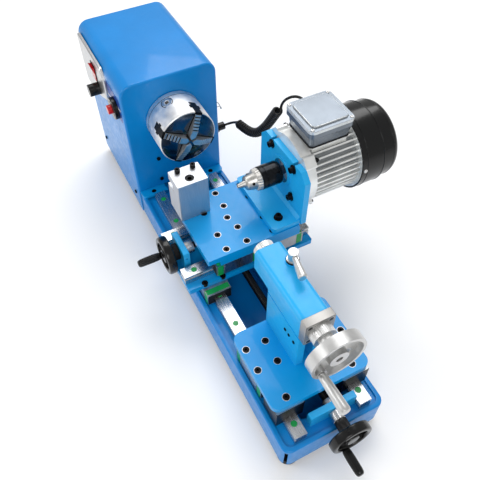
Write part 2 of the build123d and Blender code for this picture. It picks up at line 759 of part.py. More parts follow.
with BuildPart() as saddle_screws:
    socket_screws(level(saddle_top - head_sink + head_height), saddle_bolts, head_radius,
                  head_height, bolt_radius, saddle_thickness + thread_depth - 1)
finish(saddle_screws, "saddle_screws")

with BuildPart() as saddle_blocks:
    for x, y in saddle_blocks_at:
        rail_block(x, y, rail_seat, True)
    with at(level(block_top), saddle_bolts):
        Hole(bolt_radius + 0.1, thread_depth)
finish(saddle_blocks, "saddle_blocks")

nut_half_length = 20.0
nut_half_width = 16.0
with BuildPart() as lead_nut:
    slab((saddle_mid - nut_half_length, saddle_mid + nut_half_length),
         (lead_screw_y - nut_half_width, lead_screw_y + nut_half_width),
         (lead_screw_height - 12, block_top))
    disc(across(saddle_mid - nut_half_length - 1), screw_axis, lead_screw_radius + fit_clearance,
         2 * nut_half_length + 2, Mode.SUBTRACT)
finish(lead_nut, "lead_nut")

cross_rail_front = saddle_front + 0.3
with BuildPart() as cross_rails:
    for x in cross_rails_at:
        slab((x - rail_width / 2, x + rail_width / 2),
             (cross_rail_front, cross_rail_front + cross_rail_length), (saddle_top, cross_rail_top))
        with BuildSketch(along(cross_rail_front)) as flank_grooves:
            with Locations((x, cross_rail_top - groove_height)):
                with GridLocations(rail_width, 0, 2, 1):
                    Circle(groove_depth)
        extrude(to_extrude=flank_grooves.sketch, amount=-cross_rail_length, mode=Mode.SUBTRACT)
    cross_holes = [(x, cross_rail_front + rail_end_margin + k * rail_pitch)
                   for x in cross_rails_at for k in range(4)]
    with at(level(cross_rail_top), cross_holes):
        CounterBoreHole(rail_bolt_radius, plug_radius, plug_depth)
finish(cross_rails, "cross_rails")

cross_bearing_front = -88.0
cross_bearing_back = -77.5
cross_bearing_half = 25.5
cross_bearing_height = 42.3
cross_axis = (saddle_mid, cross_screw_z)
with BuildPart() as cross_screw_bearing:
    slab((saddle_mid - cross_bearing_half, saddle_mid + cross_bearing_half),
         (cross_bearing_front, cross_bearing_back), (saddle_top, saddle_top + cross_bearing_height))
    chamfer(cross_screw_bearing.faces().sort_by(Axis.Z)[-1].edges(), 1.0)
    disc(along(cross_bearing_back + 1), cross_axis, screw_radius + fit_clearance, 13, Mode.SUBTRACT)
    # Set screw hole in the end that faces the tailstock.
    disc(across(saddle_mid + cross_bearing_half + 1),
         ((cross_bearing_front + cross_bearing_back) / 2, saddle_top + cross_bearing_height - 14),
         2.0, -9, Mode.SUBTRACT)
finish(cross_screw_bearing, "cross_screw_bearing")

# ==== cross screw =================================================================================
cross_wheel_back = saddle_front - 0.8
cross_wheel_front = cross_wheel_back - wheel_width
cross_screw_end = 118.0
with BuildPart() as cross_screw:
    disc(along(cross_screw_end), cross_axis, screw_radius,
         cross_screw_end - cross_wheel_front - 4)
    disc(along(cross_bearing_back + collar_gap + 14), cross_axis, 12.0, 14)
finish(cross_screw, "cross_screw")

cross_handle_x = saddle_mid - 15.5
cross_handle_z = cross_screw_z - 15.5
with BuildPart() as cross_handwheel:
    handwheel(along(cross_wheel_back), cross_axis, wheel_radius, wheel_width, 6.0,
              hub_radius + 2, 8.0)
    fluted(along(cross_bearing_front - collar_gap), cross_axis, 14.0,
           cross_bearing_front - collar_gap - cross_wheel_back, 20, 1.2)
    disc(along(cross_bearing_front), cross_axis, screw_radius, 40, Mode.SUBTRACT)
    disc(along(cross_wheel_back), (cross_handle_x, cross_handle_z), handle_radius + 1.5,
         wheel_width - 2)
    disc(along(cross_wheel_back + 1), (cross_handle_x, cross_handle_z),
         handle_pin_radius + fit_clearance, wheel_width + 2, Mode.SUBTRACT)
    fillet(cross_handwheel.faces().sort_by(Axis.Y)[0].edges().sort_by(SortBy.LENGTH)[-1], 2.5)
finish(cross_handwheel, "cross_handwheel")

with BuildPart() as cross_handle:
    fluted(along(cross_wheel_front), (cross_handle_x, cross_handle_z), handle_radius,
           cross_wheel_front - cross_handle_tip, 8, 1.5)
    disc(along(cross_wheel_back - 1), (cross_handle_x, cross_handle_z), handle_pin_radius,
         wheel_width)
finish(cross_handle, "cross_handle")

# ==== cross slide =================================================================================
cross_blocks_at = [(x, y) for x in cross_rails_at for y in (cross_block_front, cross_block_rear)]
cross_bolts = grid(cross_blocks_at, block_bolts_across, block_bolts_along)
with BuildPart() as cross_blocks:
    for x, y in cross_blocks_at:
        rail_block(x, y, saddle_top, False)
    with at(level(cross_block_top), cross_bolts):
        Hole(bolt_radius + 0.1, thread_depth)
finish(cross_blocks, "cross_blocks")

with BuildPart() as cross_table:
    slab((table_left, table_right), (table_front, table_back), (table_bottom, table_top))
    chamfer(cross_table.edges().filter_by(Axis.Z), 1.0)
    for x, y in cross_blocks_at:
        slab((x - block_width / 2, x + block_width / 2),
             (y - spacer_length / 2, y + spacer_length / 2), (cross_block_top, table_bottom))
    with at(level(table_top), cross_bolts):
        CounterBoreHole(bolt_hole, head_radius + 0.4, head_sink)
    with at(level(table_top), [(saddle_mid, 2.6)]):
        CounterBoreHole(bolt_hole, head_radius + 0.4, head_sink)
finish(cross_table, "cross_table")

with BuildPart() as cross_nut:
    slab((saddle_mid - nut_half_width, saddle_mid + nut_half_width),
         (2.6 - nut_half_length, 2.6 + nut_half_length), (cross_screw_z - 12, table_bottom))
    disc(along(2.6 + nut_half_length + 1), cross_axis, screw_radius + fit_clearance,
         2 * nut_half_length + 2, Mode.SUBTRACT)
    with at(level(table_bottom), [(saddle_mid, 2.6)]):
        Hole(bolt_radius + 0.1, thread_depth)
finish(cross_nut, "cross_nut")

post_left = 4.3
post_right = 44.3
post_front = -66.5
post_back = -15.5
post_top = table_top + 76.9
post_slot_floor = 211.0
post_slot_height = 14.0
post_slot_depth = 16.0
post_jaw_length = 5.5
clamp_x = post_left + 7.2
clamp_ys = (-53.0, -27.0)
post_bolt = (31.4, -41.2)
with BuildPart() as tool_post:
    slab((post_left - post_jaw_length, post_right), (post_front, post_back), (table_top, post_top))
    slab((post_left - post_jaw_length - 1, post_left), (post_front - 1, post_back + 1),
         (post_slot_floor, post_top + 1), mode=Mode.SUBTRACT)
    slab((post_left - 1, post_left + post_slot_depth), (post_front - 1, post_back + 1),
         (post_slot_floor, post_slot_floor + post_slot_height), mode=Mode.SUBTRACT)
    chamfer(tool_post.edges().filter_by(Axis.Z), 0.8)
    with at(level(post_top), [post_bolt]):
        CounterBoreHole(4.2, 7.4, 9.0)
    with at(level(post_top), [(clamp_x, y) for y in clamp_ys]):
        Hole(bolt_radius + 0.1, post_top - post_slot_floor - post_slot_height + 1)
finish(tool_post, "tool_post")

plate_left = table_left + 0.3
plate_right = table_right - 0.3
bracket_bolt_xs = (saddle_mid - 33.0, saddle_mid + 33.0)
bracket_bolt_zs = (195.0, 255.0)
base_bolts = [(saddle_mid - 45.5, 71.8), (saddle_mid + 45.5, 71.8)]
bracket_slot_length = 22.0
with BuildPart() as motor_bracket:
    slab((plate_left + 2, plate_right - 2), (bracket_base_front, bracket_back),
         (table_top, table_top + bracket_base), 6.0)
    with BuildSketch(along(bracket_back)) as upright:
        with Locations((saddle_mid, (table_top + bracket_top) / 2)):
            Rectangle(plate_right - plate_left, bracket_top - table_top)
        chamfer(upright.vertices().group_by(Axis.Y)[-1], 14)
        with Locations((saddle_mid, spindle_height)):
            Circle(26.0, mode=Mode.SUBTRACT)
        with Locations(*[(x, z) for x in bracket_bolt_xs for z in bracket_bolt_zs]):
            SlotOverall(bracket_slot_length, 7.4, rotation=90, mode=Mode.SUBTRACT)
    extrude(to_extrude=upright.sketch, amount=bracket_plate)
    # Weld fillet where the upright meets the base.
    with BuildSketch(across(plate_left + 4)) as weld:
        with BuildLine():
            corner = (bracket_plate_front, table_top + bracket_base)
            Polyline(corner, (corner[0] - 5, corner[1]), (corner[0], corner[1] + 5), close=True)
        make_face()
    extrude(to_extrude=weld.sketch, amount=plate_right - plate_left - 8)
    with at(level(table_top + bracket_base), base_bolts):
        Hole(bolt_hole, bracket_base)
finish(motor_bracket, "motor_bracket")

washer_radius = 7.5
washer_thickness = 1.5
with BuildPart() as cross_slide_screws:
    socket_screws(level(table_top - head_sink + head_height), cross_bolts, head_radius,
                  head_height, bolt_radius, head_height + spacer_height + thread_depth + 3)
    socket_screws(level(table_top - head_sink + head_height), [(saddle_mid, 2.6)], head_radius,
                  head_height, bolt_radius, head_height + 12)
    socket_screws(level(table_top + bracket_base + washer_thickness + head_height), base_bolts,
                  head_radius, head_height, bolt_radius, head_height + bracket_base)
    with at(level(table_top + bracket_base), base_bolts):
        Cylinder(washer_radius, washer_thickness, align=(Align.CENTER, Align.CENTER, Align.MIN))
    bracket_bolts = [(x, z) for x in bracket_bolt_xs for z in bracket_bolt_zs]
    socket_screws(along(bracket_plate_front - washer_thickness - head_height), bracket_bolts,
                  head_radius, head_height, bolt_radius, head_height + bracket_plate + 8)
    with at(along(bracket_plate_front), bracket_bolts):
        Cylinder(washer_radius, washer_thickness, align=(Align.CENTER, Align.CENTER, Align.MIN))
    socket_screws(level(post_top - 9.0 + 8.0), [post_bolt], 7.0, 8.0, 4.0, 40.0)
    socket_screws(level(post_top + 6.5), [(clamp_x, y) for y in clamp_ys], 4.4, 6.3,
                  bolt_radius, 6.5 + post_top - post_slot_floor - post_slot_height + 2)
finish(cross_slide_screws, "cross_slide_screws")

# ==== driven tool =================================================================================
motor_axis = (saddle_mid, spindle_height)
shaft_tool_radius = 7.0
rotor_radius = 40.0
pad_half_width = 30.0
pad_height = 14.0
pad_y = (133.0, 195.0)
fins = 40
with BuildPart() as motor_housing:
    disc(along(bracket_back + bell_length), motor_axis, motor_radius, bell_length)
    with BuildSketch(along(bracket_back + bell_length)) as ears:
        with Locations(motor_axis):
            with PolarLocations(motor_radius - 1, 4, 45):
                RectangleRounded(15, 22, 4)
    extrude(to_extrude=ears.sketch, amount=bell_length)
    with BuildSketch(along(motor_back)) as finned:
        with Locations(motor_axis):
            Circle(motor_radius - 7)
            with PolarLocations(motor_radius - 6.5, fins):
                Rectangle(13, 2.6)
    extrude(to_extrude=finned.sketch, amount=motor_length - bell_length)
    disc(along(motor_back + 6), motor_axis, fan_cover_radius - 2.5 - running_gap, 10)
    # The terminal box stands on a flat pad on the motor's back.
    box_seat = spindle_height + motor_radius
    slab((saddle_mid - pad_half_width, saddle_mid + pad_half_width), pad_y,
         (box_seat - pad_height, box_seat))
    disc(along(motor_back + 7), motor_axis, shaft_tool_radius + fit_clearance, motor_length + 20,
         Mode.SUBTRACT)
    disc(along(motor_back - 8), motor_axis, rotor_radius + 2, motor_length - bell_length - 8,
         Mode.SUBTRACT)
    with at(along(bracket_back), bracket_bolts):
        with Locations((0, 0, -4.5)):
            Cylinder(bolt_radius + 0.1, 9.0, mode=Mode.SUBTRACT)
finish(motor_housing, "motor_housing")

box_y = 162.0
box_foot = (64.0, 68.0, 6.0)
box_mouth = (73.0, 75.0, 8.0)
with BuildPart() as terminal_box:
    for z, (width, depth, corner) in ((box_seat, box_foot),
                                      (box_seat + terminal_box_height, box_mouth)):
        with BuildSketch(level(z)) as box_ring:
            with Locations((saddle_mid + 1, box_y)):
                RectangleRounded(width, depth, corner)
    loft()
    slab((saddle_mid - 28, saddle_mid + 30), (box_y - 30, box_y + 30),
         (box_seat + 3, box_seat + terminal_box_height + 1), 3.0, Mode.SUBTRACT)
    with BuildSketch(level(box_seat + terminal_box_height + 0.02)) as lid:
        with Locations((saddle_mid + 2, box_y - 2)):
            RectangleRounded(76, 78, 9)
    extrude(to_extrude=lid.sketch, amount=terminal_lid_height - 3)
    lid_top = box_seat + terminal_box_height + terminal_lid_height
    with BuildSketch(level(lid_top - 3)) as panel:
        with Locations((saddle_mid + 2, box_y - 2)):
            RectangleRounded(62, 64, 6)
    extrude(to_extrude=panel.sketch, amount=3, taper=20)
finish(terminal_box, "terminal_box")

cover_start = motor_back - 4.0
cover_step = 251.0
with BuildPart() as fan_cover:
    disc(along(cover_step), motor_axis, fan_cover_radius, cover_step - cover_start)
    disc(along(fan_cover_end), motor_axis, fan_cover_radius - 3, fan_cover_end - cover_step)
    rear_rim = fan_cover.faces().sort_by(Axis.Y)[-1].edges()
    fillet(rear_rim, 12)
    disc(along(fan_cover_end - 2.5), motor_axis, fan_cover_radius - 14, 14, Mode.SUBTRACT)
    disc(along(fan_cover_end - 14), motor_axis, fan_cover_radius - 5.5,
         fan_cover_end - 14 - cover_step + 1, Mode.SUBTRACT)
    disc(along(cover_step + 0.5), motor_axis, fan_cover_radius - 5.5, 4, Mode.SUBTRACT)
    disc(along(cover_step - 2.5), motor_axis, fan_cover_radius - 2.5,
         cover_step - 2.5 - cover_start + 1, Mode.SUBTRACT)
    with BuildSketch(along(fan_cover_end + 1)) as grille:
        with Locations(motor_axis):
            with PolarLocations(34, 20):
                SlotOverall(26, 4.5)
    extrude(to_extrude=grille.sketch, amount=8, mode=Mode.SUBTRACT)
finish(fan_cover, "fan_cover")

drill_nose = 45.0
drill_ring = 54.0
drill_sleeve_end = 95.0
drill_bore = 3.0
with BuildPart() as drill_shaft:
    disc(along(motor_back + 30), motor_axis, shaft_tool_radius, motor_back + 30 - 70)
    disc(along(motor_back - 12), motor_axis, rotor_radius, motor_length - bell_length - 16)
    disc(along(motor_back + 24), motor_axis, 12, 16)
    with BuildSketch(along(motor_back + 24)) as blades:
        with Locations(motor_axis):
            with PolarLocations(31, 7):
                Rectangle(44, 2.5)
    extrude(to_extrude=blades.sketch, amount=15)
finish(drill_shaft, "drill_shaft")

with BuildPart() as drill_chuck:
    with BuildSketch(Plane(origin=(saddle_mid - mid_x, -mid_y, spindle_height),
                           x_dir=(1, 0, 0), z_dir=(0, 0, 1))) as drill_profile:
        with BuildLine():
            Polyline((0, drill_tip), (5, drill_tip), (15.5, drill_nose), (15.5, drill_nose + 1),
                     (18, drill_nose + 2), (18, drill_ring), (19, drill_ring + 1),
                     (19, drill_sleeve_end - 2), (17, drill_sleeve_end), (0, drill_sleeve_end),
                     close=True)
        make_face()
    revolve(axis=Axis((saddle_mid - mid_x, -mid_y, spindle_height), (0, 1, 0)))
    with BuildSketch(along(drill_ring)) as teeth:
        with Locations(motor_axis):
            with PolarLocations(18, 24):
                Circle(1.1)
    extrude(to_extrude=teeth.sketch, amount=drill_ring - drill_nose - 2, mode=Mode.SUBTRACT)
    disc(along(drill_sleeve_end + 1), motor_axis, shaft_tool_radius, drill_sleeve_end - 69,
         Mode.SUBTRACT)
    disc(along(70.5), motor_axis, drill_bore, 60, Mode.SUBTRACT)
finish(drill_chuck, "drill_chuck")

# ==== tailstock ===================================================================================
tail_axis = (0.0, spindle_height)
tail_blocks_at = [(tail_block_x, s * rail_half_gauge) for s in (-1, 1)]
tail_bolts = grid(tail_blocks_at, block_bolts_along, block_bolts_across)
clamp_left = 342.0
clamp_right = 378.0
clamp_outer = 76.0
clamp_inner = 32.0
clamp_bolts = [(363.9, s * rail_half_gauge) for s in (-1, 1)]
with BuildPart() as tailstock_base:
    slab((tail_base_left, tail_base_right), (-tail_base_half_width, tail_base_half_width),
         (tail_base_bottom, tail_base_top), 13.0)
    for x, y in tail_blocks_at:
        slab((x - spacer_length / 2, x + spacer_length / 2),
             (y - block_width / 2, y + block_width / 2), (block_top, tail_base_bottom))
    with at(level(tail_base_top), tail_bolts + clamp_bolts):
        CounterBoreHole(bolt_hole, head_radius + 0.4, head_sink - 1)
finish(tailstock_base, "tailstock_base")

with BuildPart() as tailstock_blocks:
    for x, y in tail_blocks_at:
        rail_block(x, y, rail_seat, True)
    for side in (-1, 1):
        slab((clamp_left, clamp_right), sorted((side * clamp_inner, side * clamp_outer)),
             (block_bottom + 2, tail_base_bottom), 2.0)
        half_slot = rail_width / 2 + running_gap
        slab((clamp_left - 1, clamp_right + 1),
             (side * rail_half_gauge - half_slot, side * rail_half_gauge + half_slot),
             (block_bottom, rail_top + running_gap), mode=Mode.SUBTRACT)
    with at(level(block_top), tail_bolts):
        Hole(bolt_radius + 0.1, thread_depth)
    with at(level(tail_base_bottom), clamp_bolts):
        Hole(bolt_radius + 0.1, thread_depth)
finish(tailstock_blocks, "tailstock_blocks")

lever_post = (245.0, 16.0)
lever_seat = 247.5
fork_step = 187.0
gib_screws = [(x, 171.0) for x in (296.6, 306.4, 319.0)]
with BuildPart() as tailstock_support:
    slab((support_left, support_right), (-support_half_width, support_half_width),
         (tail_base_top, housing_bottom))
    slab((support_left - 1, support_right + 1),
         (support_wall - support_half_width, support_half_width - support_wall),
         (tail_base_top - 1, fork_step), mode=Mode.SUBTRACT)
    # Dovetail step under the housing.
    for side in (-1, 1):
        slab((support_left - 1, support_right + 1),
             sorted((side * support_half_width, side * (support_half_width - 2))),
             (fork_step + 6, fork_step + 9), mode=Mode.SUBTRACT)
    chamfer(tailstock_support.edges().filter_by(Axis.Z), 1.0)
    with at(along(-support_half_width), gib_screws):
        Hole(2.6, 8.0)
finish(tailstock_support, "tailstock_support")

with BuildPart() as tailstock_housing:
    with BuildSketch(across(housing_left)) as body_outline:
        with Locations((0, (housing_bottom + housing_top) / 2)):
            Rectangle(2 * housing_half_width, housing_top - housing_bottom)
        fillet(body_outline.vertices().group_by(Axis.Y)[-1], 8)
    extrude(to_extrude=body_outline.sketch, amount=housing_right - housing_left)
    chamfer(tailstock_housing.faces().sort_by(Axis.X)[0].edges(), 1.2)
    disc(across(housing_left - 1), tail_axis, quill_radius + fit_clearance,
         housing_right - housing_left + 2, Mode.SUBTRACT)
    # End flange with slots, carrying the quill screw.
    with BuildSketch(across(housing_right)) as flange:
        with Locations(tail_axis):
            RectangleRounded(2 * housing_half_width, 44, 9)
            Circle(screw_radius + fit_clearance, mode=Mode.SUBTRACT)
            with PolarLocations(15.5, 4, 45):
                SlotOverall(10, 4.5, rotation=90, mode=Mode.SUBTRACT)
    extrude(to_extrude=flange.sketch, amount=flange_thickness)
    # Boss for the clamping lever.
    disc(level(housing_top - 20), lever_post, 9.0, lever_seat - housing_top + 20)
    disc(level(housing_top - 6), lever_post, 4.0 + fit_clearance, lever_seat, Mode.SUBTRACT)
    disc(across(housing_left - 1), tail_axis, quill_radius + fit_clearance,
         housing_right - housing_left + 1, Mode.SUBTRACT)
finish(tailstock_housing, "tailstock_housing")

with BuildPart() as tailstock_screws:
    socket_screws(level(tail_base_top - head_sink + 1 + head_height), tail_bolts, head_radius,
                  head_height, bolt_radius, head_height + tail_spacer_height + thread_depth + 2)
    socket_screws(level(tail_base_top - head_sink + 1 + head_height), clamp_bolts, head_radius,
                  head_height, bolt_radius, head_height + thread_depth + 2)
    socket_screws(along(-support_half_width - 1.2), gib_screws, 2.5, 8.0, 2.0, 8.5)
finish(tailstock_screws, "tailstock_screws")

quill_nose_length = 10.0
quill_screw_left = 222.0
with BuildPart() as quill:
    disc(across(quill_left), tail_axis, quill_radius, quill_right - quill_left)
    fluted(across(quill_left + 1), tail_axis, quill_radius + 2.5, quill_nose_length, 36, 0.8)
    chamfer(quill.edges().filter_by(GeomType.CIRCLE).sort_by(Axis.X)[0], 0.7)
    disc(across(quill_left - 1), tail_axis, screw_radius + fit_clearance,
         quill_right - quill_left + 2, Mode.SUBTRACT)
    with BuildSketch(across(quill_left)) as taper_mouth:
        with Locations(tail_axis):
            Circle(7.2)
    extrude(to_extrude=taper_mouth.sketch, amount=24, taper=1.5, mode=Mode.SUBTRACT)
finish(quill, "quill")

collar_start = housing_right + flange_thickness
collar_end = 356.0
tail_handle_y = -23.4
tail_handle_z = 205.0
window_radius = 23.0
with BuildPart() as quill_handwheel:
    disc(across(quill_screw_left), tail_axis, screw_radius, tail_wheel_back - quill_screw_left + 2)
    fluted(across(collar_start + running_gap), tail_axis, 17.0, collar_end - collar_start - running_gap,
           40, 0.7)
    disc(across(collar_end - 1), tail_axis, 11.0, tail_wheel_back - collar_end + 2)
    handwheel(across(tail_wheel_back), tail_axis, tail_wheel_radius, tail_wheel_width, 6.0, 14.0, 5.0)
    disc(across(tail_wheel_back), (tail_handle_y, tail_handle_z), handle_radius + 1.0,
         tail_wheel_width)
    disc(across(tail_wheel_back - 1), (tail_handle_y, tail_handle_z),
         handle_pin_radius + fit_clearance, tail_wheel_width + 2, Mode.SUBTRACT)
    disc(across(tail_wheel_back + 7), tail_axis, 5.0, tail_wheel_width, Mode.SUBTRACT)
    # Two windows leave a spoke on each side.
    with BuildSketch(across(tail_wheel_back - 1)) as windows:
        with Locations(tail_axis):
            with PolarLocations(window_radius, 2, 130):
                SlotOverall(26, 12, rotation=90)
    extrude(to_extrude=windows.sketch, amount=10, mode=Mode.SUBTRACT)
finish(quill_handwheel, "quill_handwheel")

tail_grip_start = tail_wheel_back + tail_wheel_width
tail_handle_length = 54.0
with BuildPart() as quill_handle:
    with BuildSketch(Plane(origin=(-mid_x, tail_handle_y - mid_y, tail_handle_z),
                           x_dir=(1, 0, 0), z_dir=(0, -1, 0))) as grip_profile:
        with BuildLine():
            start = tail_grip_start + running_gap
            end = tail_grip_start + tail_handle_length
            Polyline((start, 0), (start, 5.5), (start + 4, 6.2), (end - 4, handle_radius + 0.6),
                     (end - 1, handle_radius), (end, handle_radius - 1.5), (end, 0), close=True)
        make_face()
    revolve(axis=Axis((-mid_x, tail_handle_y - mid_y, tail_handle_z), (1, 0, 0)))
    disc(across(tail_wheel_back + 1), (tail_handle_y, tail_handle_z), handle_pin_radius,
         tail_wheel_width)
finish(quill_handle, "quill_handle")

lever_length = 40.0
lever_hub_top = 266.0
lever_angle = -12.0
with BuildPart() as lock_lever:
    disc(level(housing_top - 5), lever_post, 4.0, lever_hub_top - housing_top)
    disc(level(lever_seat + running_gap), lever_post, 8.5, 3.0)
    disc(level(lever_seat + running_gap), lever_post, 7.0, lever_hub_top - lever_seat)
    arm_start = Vector(*moved([(lever_post[0], lever_post[1], lever_hub_top - 6)])[0])
    arm_plane = Plane(origin=arm_start, x_dir=(0, 1, 0),
                      z_dir=Vector(1, 0, 0).rotate(Axis.Z, lever_angle))
    for offset, radius in ((0, 3.6), (lever_length, 6.8)):
        with BuildSketch(arm_plane.offset(offset)):
            Circle(radius)
    loft()
    fillet(lock_lever.edges().filter_by(GeomType.CIRCLE).sort_by(Axis.X)[-1], 2.5)
finish(lock_lever, "lock_lever")

# ==== cord ========================================================================================
# The cord leaves the gland on the headstock, is coiled along the motor's side and ends at the
# terminal box. Each corner of a run is rounded by the largest arc that both runs leave room for.
gland_tail_points = [(gland_x, gland_end + 0.4, gland_z), (-151.5, 114.5, 150.8),
                     (-146.0, 122.0, 155.0), (-136.0, 125.0, 161.5)]
coil_points = [(-136.0, 125.0, 161.5), (-115.0, 128.5, 162.5), (-93.0, 132.0, 166.5),
               (-74.0, 136.0, 178.0), (-58.0, 140.0, 199.0), (-43.0, 144.0, 226.0),
               (-22.0, 144.0, 262.0)]
box_tail_points = [(-21.9, 144.0, 262.17), (-16.0, 144.0, 272.3), (-12.0, 150.0, 289.0),
                   (0.0, 159.0, 301.0), (17.0, 165.0, 305.5), (33.4, 166.0, 301.6)]
arc_share = 0.45


def cord_tube(points, radius):
    """Round tube along straight runs joined by tangent arcs; returns its length."""
    places = [Vector(*point) for point in moved(points)]
    radii = []
    for before, here, after in zip(places, places[1:], places[2:]):
        shorter = min((here - before).length, (after - here).length)
        turn = (here - before).get_angle(after - here)
        radii.append(arc_share * shorter / math.tan(math.radians(turn / 2)))
    with BuildLine() as route:
        FilletPolyline(*places, radius=radii)
    wire = route.wires()[0]
    with BuildSketch(Plane(origin=places[0], z_dir=places[1] - places[0])) as bore:
        Circle(radius)
    sweep(sections=bore.sketch, path=wire)
    print("radii", [round(r, 1) for r in radii], "length", round(wire.length, 1),
          "section x length", round(wire.length * math.pi * radius ** 2, 1))


with BuildPart() as cord_gland_tail:
    cord_tube(gland_tail_points, cord_radius)
print("volume", round(cord_gland_tail.part.volume, 1))
finish(cord_gland_tail, "cord_gland_tail")

with BuildPart() as cord_coil:
    cord_tube(coil_points, coil_radius)
print("volume", round(cord_coil.part.volume, 1))
finish(cord_coil, "cord_coil")

with BuildPart() as cord_box_tail:
    cord_tube(box_tail_points, cord_radius)
print("volume", round(cord_box_tail.part.volume, 1))
finish(cord_box_tail, "cord_box_tail")
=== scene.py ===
"""A small metal lathe with a motor-driven tool: its finishes and fine parts, built round the frame.

Sizes are in the machine's millimetres, as on its drawing: X along the bed from the headstock to the
tailstock, -Y the operator's side, Z up from the bench. row() moves them to the frame, in metres."""
import json

import bmesh
import bpy
import numpy as np
from mathutils import Matrix, Vector


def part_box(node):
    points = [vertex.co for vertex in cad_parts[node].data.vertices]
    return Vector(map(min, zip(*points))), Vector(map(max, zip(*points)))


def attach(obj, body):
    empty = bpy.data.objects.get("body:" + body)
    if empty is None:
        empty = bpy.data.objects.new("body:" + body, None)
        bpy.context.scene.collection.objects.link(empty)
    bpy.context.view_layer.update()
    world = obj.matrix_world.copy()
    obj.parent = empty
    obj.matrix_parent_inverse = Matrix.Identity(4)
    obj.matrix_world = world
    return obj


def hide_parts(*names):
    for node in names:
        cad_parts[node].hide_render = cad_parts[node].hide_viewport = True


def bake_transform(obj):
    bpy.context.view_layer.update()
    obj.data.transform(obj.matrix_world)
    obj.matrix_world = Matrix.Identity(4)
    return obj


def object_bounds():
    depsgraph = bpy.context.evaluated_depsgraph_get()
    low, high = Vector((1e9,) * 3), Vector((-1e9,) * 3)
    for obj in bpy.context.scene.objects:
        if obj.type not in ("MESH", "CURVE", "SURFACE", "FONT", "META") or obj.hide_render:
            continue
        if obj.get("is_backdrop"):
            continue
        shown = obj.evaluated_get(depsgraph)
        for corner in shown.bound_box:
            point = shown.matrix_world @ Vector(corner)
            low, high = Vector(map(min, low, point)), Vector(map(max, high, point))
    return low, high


bl_info = {
    "name": "Bench lathe",
    "version": (1, 0, 0),
    "blender": (4, 5, 0),
    "location": "View3D > Sidebar > Lathe",
    "description": "Builds the fine parts and finishes of a small metal lathe",
    "category": "Object",
}

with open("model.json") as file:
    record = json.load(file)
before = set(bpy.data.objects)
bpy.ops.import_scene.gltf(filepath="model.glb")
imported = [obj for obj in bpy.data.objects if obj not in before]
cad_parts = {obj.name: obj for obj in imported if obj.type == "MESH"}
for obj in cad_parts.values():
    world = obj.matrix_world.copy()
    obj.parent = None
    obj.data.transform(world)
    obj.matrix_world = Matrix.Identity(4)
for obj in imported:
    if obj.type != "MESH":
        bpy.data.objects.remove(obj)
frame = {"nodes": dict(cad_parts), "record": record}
CAD_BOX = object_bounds()

MM = 0.001
DATUM = np.array([61.5, 64.25, 0.0])  # the frame's origin, in the machine's millimetres
SPINDLE_HEIGHT = 225.0
SPINDLE = (0.0, 0.0, SPINDLE_HEIGHT)
TOOL_X = 70.0  # the driven tool's axis, along the bed
RAIL_Y = 54.0  # each bed rail's middle, either side of the spindle
RAIL_WIDTH = 20.0
BLOCK_HALF_LENGTH = 38.75
AXES = {  # right, up and forward of a section drawn across each direction
    "+X": ((0, 1, 0), (0, 0, 1), (1, 0, 0)),
    "-X": ((0, -1, 0), (0, 0, 1), (-1, 0, 0)),
    "+Y": ((-1, 0, 0), (0, 0, 1), (0, 1, 0)),
    "-Y": ((1, 0, 0), (0, 0, 1), (0, -1, 0)),
    "+Z": ((1, 0, 0), (0, 1, 0), (0, 0, 1)),
}


# ---- places and plain mathematics ----------------------------------------------------------------
def row(points):
    """Machine millimetres moved to the frame's origin, in metres."""
    return (np.asarray(points, float) - DATUM) * MM


def span(node):
    """Lowest and highest corner of a CAD node, in machine millimetres."""
    return [np.array(corner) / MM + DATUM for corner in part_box(node)]


def outward(angle):
    """Right along the bed, up round the spindle and forward out from it, at an angle."""
    turn = np.radians(angle)
    return ((1, 0, 0), (0, -np.sin(turn), np.cos(turn)), (0, np.cos(turn), np.sin(turn)))


def laid(local, centre, axis):
    """Local right, up and forward millimetres turned along an axis and moved to a centre."""
    turned_to = np.array(AXES[axis] if isinstance(axis, str) else axis, float)
    return np.asarray(local, float) @ turned_to + np.asarray(centre, float)


def softened(profile, times=2):
    """A run of points with its corners cut at a quarter of each side, as often as asked; the ends
    stay."""
    points = np.asarray(profile, float)
    for _ in range(times):
        before, after = points[:-1], points[1:]
        cut = np.stack([before * 0.75 + after * 0.25, before * 0.25 + after * 0.75], 1)
        points = np.concatenate([points[:1], cut.reshape(-1, points.shape[1]), points[-1:]])
    return points


# ---- surfaces ------------------------------------------------------------------------------------
def skin(grid, ring=False):
    """A closed skin over a grid of rows and columns: the columns run round, and the rows either end
    in flat caps or, for a ring, join up too. Returns its points and faces."""
    rows, columns = grid.shape[:2]
    last = rows if ring else rows - 1
    r, c = np.meshgrid(np.arange(last), np.arange(columns), indexing="ij")
    here, beside = r * columns + c, r * columns + (c + 1) % columns
    up = (r + 1) % rows
    faces = np.stack([here, beside, up * columns + (c + 1) % columns, up * columns + c], -1)
    faces = faces.reshape(-1, 4).tolist()
    if not ring:
        faces += [list(range(columns))[::-1], list(range((rows - 1) * columns, rows * columns))]
    return grid.reshape(-1, 3), faces


def turned(profile, centre, axis, sides=72, flutes=0, depth=0.0, fluted=(0, 0)):
    """A profile of distance along the axis against radius, carried round the axis. Flutes are a
    cosine wave round the part of it between two distances, cut down to a depth."""
    along, radius = np.asarray(profile, float).T
    angle = np.linspace(0, 2 * np.pi, sides, endpoint=False)
    inside = ((along >= fluted[0]) & (along <= fluted[1]))[:, None]
    wave = depth * (0.5 - 0.5 * np.cos(flutes * angle))[None, :] ** 2
    reach = np.maximum(radius[:, None] - inside * wave, 0)
    local = np.stack([reach * np.cos(angle), reach * np.sin(angle),
                      np.broadcast_to(along[:, None], reach.shape)], -1)
    return skin(laid(local, centre, axis))


